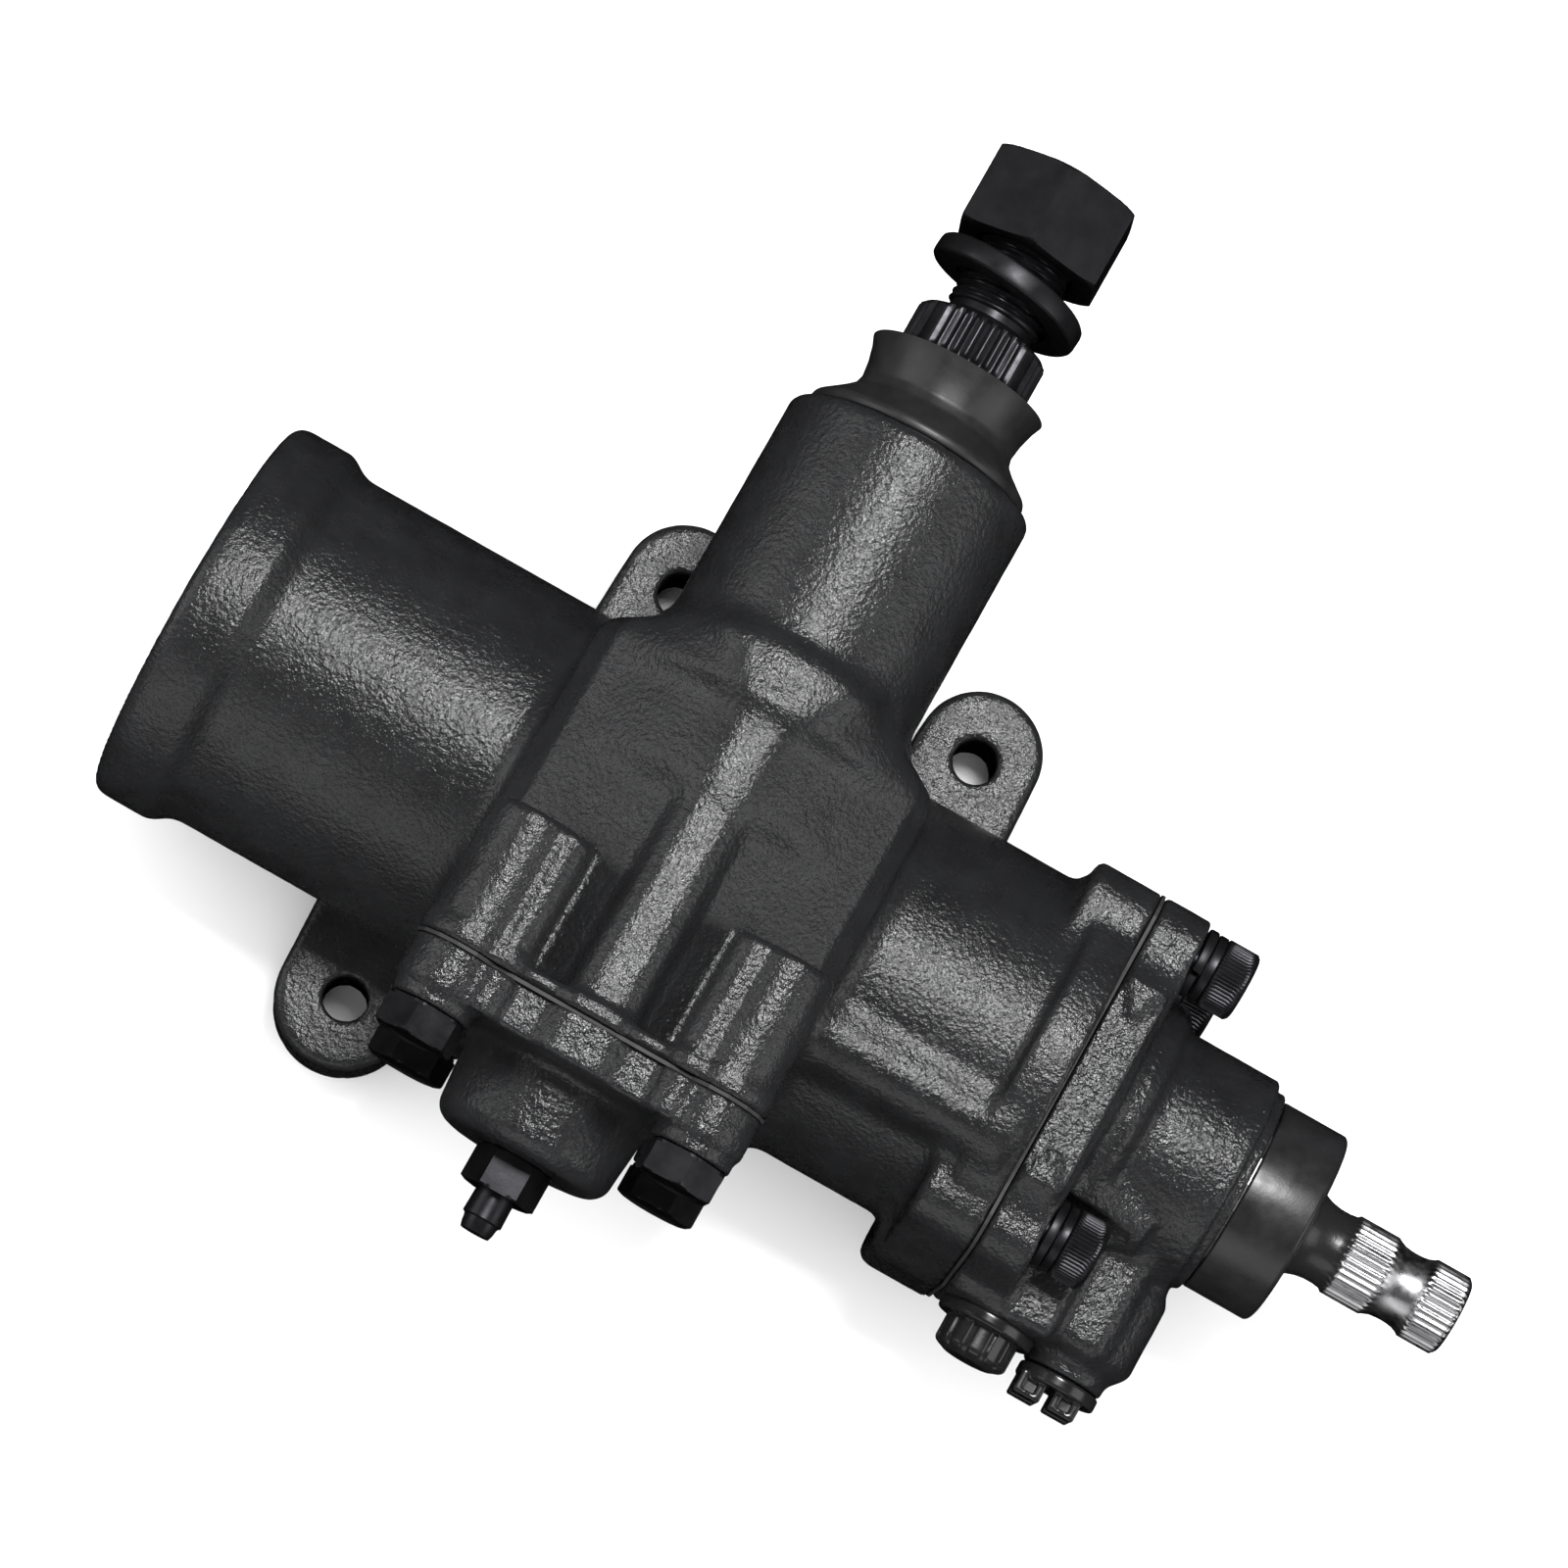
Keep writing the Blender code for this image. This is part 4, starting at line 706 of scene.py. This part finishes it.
for number, (by, bz) in enumerate(VALVE_BOLTS, 1):
    socket_bolt(number, (0, by, bz))
    ring = spring_washer("X", (110.55, by, bz), 8.3, 5.35, 1.15, 0.35, 80.0 + 37 * number)
    made(
        f"valve_spring_washer_{number}", *ring, OXIDE_SATIN,
        [f"valve_lock_washer_{number}"], "housing", "black_steel",
    )


def pitman_nut_piece():
    low, high = 151.5, 171.28
    quarter = [math.pi / 2 * i / 8 for i in range(9)]
    outer = [(17.0, low)] + [(17.0 + 2.9 * math.sin(t), low + 2.0 * (1 - math.cos(t))) for t in quarter]
    outer += stations(20.6, low + 2.1, high - 2.7, 5)
    outer += [(16.8 + 3.4 * math.cos(t), high - 2.6 * (1 - math.sin(t))) for t in quarter]
    bore = [(12.4, high), (11.45, high - 0.9), *stations(11.45, high - 1.2, low + 1.2, 2.5), (12.4, low)]
    spin = math.radians(-34)
    points, faces = spun("Y", SECTOR, outer + bore, 144, hexagon(34.1, 0.35), ring=True, spin=spin)
    return made("pitman_nut_hex", points, faces, OXIDE_SATIN, ["pitman_nut"], "sector", "black_steel", 24)


pitman_nut_piece()
LEAN = Matrix.Rotation(math.radians(-4.0), 3, "X")
made(
    "pitman_spring_washer", *spring_washer("Y", (0, 143.3, 98.0), 19.2, 12.6, 2.55, -4.6, 180.0, 120, LEAN),
    OXIDE_SATIN, ["pitman_lock_washer"], "sector", "black_steel",
)


def solid(name, points, faces):
    """A closed helper mesh for a Boolean."""
    mesh = bpy.data.meshes.new(name)
    mesh.from_pydata(((np.asarray(points) + SHIFT) * MM).tolist(), [], faces)
    bm = bmesh.new()
    bm.from_mesh(mesh)
    bmesh.ops.recalc_face_normals(bm, faces=bm.faces)
    bm.to_mesh(mesh)
    bm.free()
    helper = bpy.data.objects.new(name, mesh)
    bpy.context.scene.collection.objects.link(helper)
    return helper


def block(name, low, high):
    corners = [(x, y, z) for x in (low[0], high[0]) for y in (low[1], high[1]) for z in (low[2], high[2])]
    faces = [(0, 1, 3, 2), (4, 6, 7, 5), (0, 4, 5, 1), (2, 3, 7, 6), (0, 2, 6, 4), (1, 5, 7, 3)]
    return solid(name, corners, faces)


def cad_copy(node):
    """A closed copy of a CAD node's mesh."""
    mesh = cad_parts[node].data.copy()
    mesh.materials.clear()
    bm = bmesh.new()
    bm.from_mesh(mesh)
    bmesh.ops.remove_doubles(bm, verts=bm.verts, dist=0.000002)
    bm.to_mesh(mesh)
    bm.free()
    helper = bpy.data.objects.new(node + "_inner", mesh)
    bpy.context.scene.collection.objects.link(helper)
    return helper


def combine(base, *steps):
    """Applies (operation, helper) Booleans to a helper, and removes the others."""
    for operation, helper in steps:
        step = base.modifiers.new(operation, "BOOLEAN")
        step.operation = operation
        step.solver = "MANIFOLD"
        step.object = helper
    bpy.context.view_layer.update()
    graph = bpy.context.evaluated_depsgraph_get()
    mesh = bpy.data.meshes.new_from_object(base.evaluated_get(graph))
    for helper in [base] + [h for _, h in steps]:
        bpy.data.objects.remove(helper)
    return mesh


def detailed_end(name, node, keep, end, material, body):
    """A shaft whose hidden part is the CAD's and whose visible end is modelled finely."""
    mesh = combine(cad_copy(node), ("INTERSECT", keep), ("UNION", end))
    mesh.shade_smooth()
    mesh.set_sharp_from_angle(angle=math.radians(30))
    mesh.materials.clear()
    mesh.materials.append(material)
    piece = bpy.data.objects.new(name, mesh)
    bpy.context.scene.collection.objects.link(piece)
    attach(piece, body)
    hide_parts(node)
    return piece


def pitman_end():
    """Serrations with four blind teeth, a relief and a thread."""
    outer = [(0, 100.0), (15.88, 100.0), (15.88, 120.0)]
    outer += stations(15.86, 120.6, 131.4, 0.6) + [(15.0, 132.2), (13.6, 132.6), (10.2, 134.4), (10.2, 136.0)]
    outer += stations(11.1, 136.4, 169.6, 0.24) + [(9.9, 170.4), (2.5, 170.55), (1.6, 169.2), (0, 168.6)]
    spline = teeth(36, 1.15, 120.9, 134.6, 0.36, (4.5, 13.5, 22.5, 31.5), 1.8)
    screw = thread(1.9, 0.95, 136.2, 170.2)

    def shape(angles, radius, station):
        if 120.5 < station < 132:
            return spline(angles, radius, station)
        if station > 136.3:
            return screw(angles, radius, station)
        return np.full(len(angles), radius)

    return spun("Y", SECTOR, outer, 216, shape)


detailed_end(
    "sector_shaft_body", "sector_shaft", block("keep_inner", (-60, -100, 30), (60, 106, 170)),
    solid("pitman_end", *pitman_end()), OXIDE, "sector",
)


def input_end():
    """Root painted black, two serrated lengths and a groove for the clamp bolt between them."""
    tip = 201.58
    outer = [(0, 158.0), (9.8, 158.0), (9.8, 161.4), (10.6, 161.9), (10.6, 162.4), (9.9, 163.6), (9.3, 165.4)]
    outer += [(8.95, 167.6), (8.95, 169.8), (9.2, 171.6)]
    outer += stations(9.83, 172.3, 182.2, 0.6) + [(9.35, 183.0), (8.8, 184.4), (8.6, 186.0), (8.55, 187.4)]
    outer += [(8.6, 188.8), (8.85, 190.4), (9.35, 191.6)]
    outer += stations(9.83, 192.2, tip - 1.1, 0.6) + [(9.1, tip - 0.4), (8.6, tip - 0.05), (8.2, tip)]
    outer += [(4.3, tip), (3.2, tip - 1.2), (0, tip - 1.8)]
    near = teeth(36, 0.62, 172.0, 182.6, 0.34, (), 0.9)
    far = teeth(36, 0.62, 191.9, tip - 0.6, 0.34, (), 0.9)

    def shape(angles, radius, station):
        if 172.2 < station < 182.6:
            return near(angles, radius, station)
        if 192 < station < tip - 0.9:
            return far(angles, radius, station)
        return np.full(len(angles), radius)

    return spun("X", WORM, outer, 216, shape)


detailed_end(
    "input_shaft_body", "input_stub_shaft", block("keep_spool", (60, -40, 10), (160, 40, 90)),
    solid("input_end", *input_end()), INPUT, "input_shaft",
)


# ---------------------------------------------------------------- turned pieces


boot = [
    (21.3, 120.35), (20.4, 118.2), (19.4, 114.4), (18.9, 110.6), (19.6, 108.2), (21.6, 106.2),
    (24.4, 103.9), (26.4, 102.3), (26.75, 101.4), (26.6, 99.8), (24.7, 99.8), (24.1, 101.3),
    (16.8, 108.0), (16.5, 112.0), (18.8, 117.0), (20.5, 120.4),
]
points, faces = spun("Y", SECTOR, soften(boot + [boot[0]], 0.6)[:-1], 96, ring=True)
made("dust_boot_lip", points, faces, RUBBER, ["sector_dust_boot"], "housing", "boot_rubber", 50)

cap = [
    (11.2, 161.25), (22.6, 161.2), (23.65, 160.4), (23.65, 144.8), (23.2, 144.45), (22.25, 144.45),
    (22.2, 158.6), (11.2, 159.2), (11.2, 161.25),
]
points, faces = spun("X", WORM, soften(cap, 0.8)[:-1], 128, ring=True)
made("input_cap", points, faces, CAP_PAINT, ["input_dust_cap"], "housing", "dust_cap", 50)

plug = [
    (0, -109.95), (40.05, -109.95), (40.05, -112.1), (38.0, -112.1), (38.0, -115.1), (40.05, -115.1),
    (40.05, -118.05), (31.0, -118.05), (29.4, -114.9), (14.0, -114.5), (12.6, -116.1), (0, -116.3),
]
points, faces = spun("X", WORM, soften(plug, 0.5), 128)
made("end_plug", points, faces, CAST, ["barrel_end_plug"], "housing", "cast_black")


def adjuster():
    """Lash adjuster: a foot for the T-slot, a thread and a slotted tip."""
    tip = -96.98
    outer = [(0, -61.2), (7.8, -61.2), (7.8, -65.2), (4.7, -65.2), (4.7, -77.0)]
    outer += stations(4.72, -78.0, -93.6, -0.2) + [(4.1, -94.0), (3.9, -95.6), (3.5, tip), (0, tip)]
    screw = thread(1.2, 0.5, -93.8, -77.4)

    def shape(angles, radius, station):
        return screw(angles, radius, station) if -93.7 < station < -77.5 else np.full(len(angles), radius)

    return spun("Y", SECTOR, outer, 72, shape)


def single(name, mesh, material, nodes, body, sharp=30):
    mesh.shade_smooth()
    mesh.set_sharp_from_angle(angle=math.radians(sharp))
    mesh.materials.clear()
    mesh.materials.append(material)
    piece = bpy.data.objects.new(name, mesh)
    bpy.context.scene.collection.objects.link(piece)
    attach(piece, body)
    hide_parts(*nodes)
    return piece


slotted = combine(
    solid("adjuster", *adjuster()),
    ("DIFFERENCE", block("driver_slot", (-6, -98.5, 97.2), (6, -94.3, 98.8))),
)
single("lash_adjuster", slotted, OXIDE, ["lash_adjuster_screw"], "housing")

seat = -78.85
nut = [(8.0, seat - 8.8), (9.0, seat - 8.4), *stations(9.6, seat - 8.0, seat - 0.9, 3)]
nut += [(9.0, seat - 0.5), (8.2, seat), (5.4, seat), (4.95, seat - 0.6), (4.95, seat - 8.2), (5.5, seat - 8.8)]
points, faces = spun("Y", SECTOR, nut, 96, hexagon(15.8, 0.2), ring=True)
made("adjuster_nut", points, faces, OXIDE, ["adjuster_lock_nut"], "housing", "black_steel", 25)


# ---------------------------------------------------------------- port caps


def pressure_cap(p):
    """Round flange and a ribbed dome."""
    x, face, z = PRESSURE
    top = face - 0.25
    at = (x, 0, z)
    body = rod(p, "Y", at, top - 3.2, top, 11.65, 0.7)
    dome = rod(p, "Y", at, top - 11.2, top - 1.0, 8.3, 3.4)
    angle = np.arctan2(p[0] - x, p[2] - z)
    ribs = rod(p, "Y", at, top - 10.4, top - 1.0, 8.85, 1.6)
    ribs = np.maximum(ribs, 0.55 - 0.85 * np.abs(np.cos(angle * 6)) ** 2 * np.hypot(p[0] - x, p[2] - z) * 0.24)
    body = smin(smin(body, dome, 0.8), ribs, 0.5)
    return np.minimum(body, rod(p, "Y", at, top - 1, top + 9, 7.6, 0.6))


def return_cap(p):
    """Round flange with four square grip tabs, each with a window in its front."""
    x, face, z = RETURN
    top = face - 0.25
    at = (x, 0, z)
    body = rod(p, "Y", at, top - 3.2, top, 9.85, 0.6)
    body = np.minimum(body, rod(p, "Y", at, top - 1, top + 9, 6.6, 0.6))
    for i in (-1, 1):
        for k in (-1, 1):
            cx, cz = x - 1.2 + i * 4.4, z + k * 4.0
            tab = slab(p, (cx - 3.3, top - 7.7, cz - 2.6), (cx + 3.3, top - 2, cz + 2.6), 0.5)
            low = (cx - 1.5, top - 6.4, cz + k * 1.9 - 0.9)
            window = slab(p, low, (cx + 1.5, top - 3.6, cz + k * 1.9 + 1.6), 0.3)
            body = smin(body, smax(tab, -window, 0.2), 0.6)
    return body


carved(
    "pressure_cap_moulding", pressure_cap, (97.5, -63.6, 37.8), (121.7, -42.4, 62.2), 0.4, PLASTIC,
    ["pressure_port_cap"], "pressure_cap", "cap_plastic", 0, 40,
)
carved(
    "return_cap_moulding", return_cap, (119.4, -64, 33.9), (140.8, -46.4, 54.1), 0.4, PLASTIC,
    ["return_port_cap"], "return_cap", "cap_plastic", 0, 40,
)


# ---------------------------------------------------------------- what stays as the CAD made it


KEPT = {
    SEAL: ("o_ring", "gasket", "seal", "piston_ring"),
    BRONZE: ("bushing",),
    OXIDE: ("retaining_ring", "clamp_screw"),
}
for node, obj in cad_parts.items():
    if obj.hide_render:
        continue
    finish = STEEL
    for material, words in KEPT.items():
        if any(word in node for word in words):
            finish = material
    obj.data.materials.clear()
    obj.data.materials.append(finish)


# ---------------------------------------------------------------- floor, light and camera


def lit_floor():
    mesh = bpy.data.meshes.new("floor")
    size = 6.0
    corners = [(x * size, y * size, -0.0002) for x, y in ((-1, -1), (1, -1), (1, 1), (-1, 1))]
    mesh.from_pydata(corners, [], [(0, 1, 2, 3)])
    floor = bpy.data.objects.new("floor", mesh)
    bpy.context.scene.collection.objects.link(floor)
    floor.visible_glossy = False
    m = Nodes("pale_floor")
    m.set(Base_Color=(0.86, 0.86, 0.86, 1), Roughness=0.9, Specular_IOR_Level=0.1)
    mesh.materials.append(m.material)


def soft_light(name, where, aim, size, power, tall=None):
    light = bpy.data.lights.new(name, "AREA")
    light.shape = "RECTANGLE"
    light.size = size
    light.size_y = tall or size
    light.energy = power
    lamp = bpy.data.objects.new(name, light)
    lamp.location = where
    lamp.rotation_euler = (Vector(aim) - Vector(where)).to_track_quat("-Z", "Y").to_euler()
    bpy.context.scene.collection.objects.link(lamp)


def photo_camera():
    aim = (Vector((10.5, 31.0, 48.0)) + Vector(SHIFT)) * MM
    away = Vector((0, -260.5, 1477.2)) * MM
    look = -away.normalized()
    along = Vector((1, 0, 0))
    above = along.cross(look)
    roll = math.radians(29.5)
    right = along * math.cos(roll) + above * math.sin(roll)
    up = above * math.cos(roll) - along * math.sin(roll)
    data = bpy.data.cameras.new("camera")
    data.sensor_width = 36.0
    data.lens = 36.0 * 1500.0 / 355.6
    data.clip_start = 0.05
    data.clip_end = 20.0
    camera = bpy.data.objects.new("camera", data)
    camera.matrix_world = Matrix.Translation(aim + away) @ Matrix((right, up, -look)).transposed().to_4x4()
    bpy.context.scene.collection.objects.link(camera)
    bpy.context.scene.camera = camera


lit_floor()
photo_camera()
AIM = (0, 0, 0.05)
soft_light("key", (0.0, 0.45, 1.6), AIM, 0.36, 24.0)
soft_light("fill_front", (0.0, -1.7, 0.9), AIM, 2.2, 8.0, 1.0)
soft_light("fill_left", (-1.5, -0.1, 1.0), AIM, 1.1, 7.0)
soft_light("fill_right", (1.5, -0.1, 1.0), AIM, 1.1, 7.0)
world = bpy.data.worlds.new("studio")
world.use_nodes = True
world.node_tree.nodes["Background"].inputs["Color"].default_value = (1, 1, 1, 1)
world.node_tree.nodes["Background"].inputs["Strength"].default_value = 1.5
world.cycles_visibility.glossy = False
bpy.context.scene.world = world
bpy.context.scene.view_settings.view_transform = "Standard"
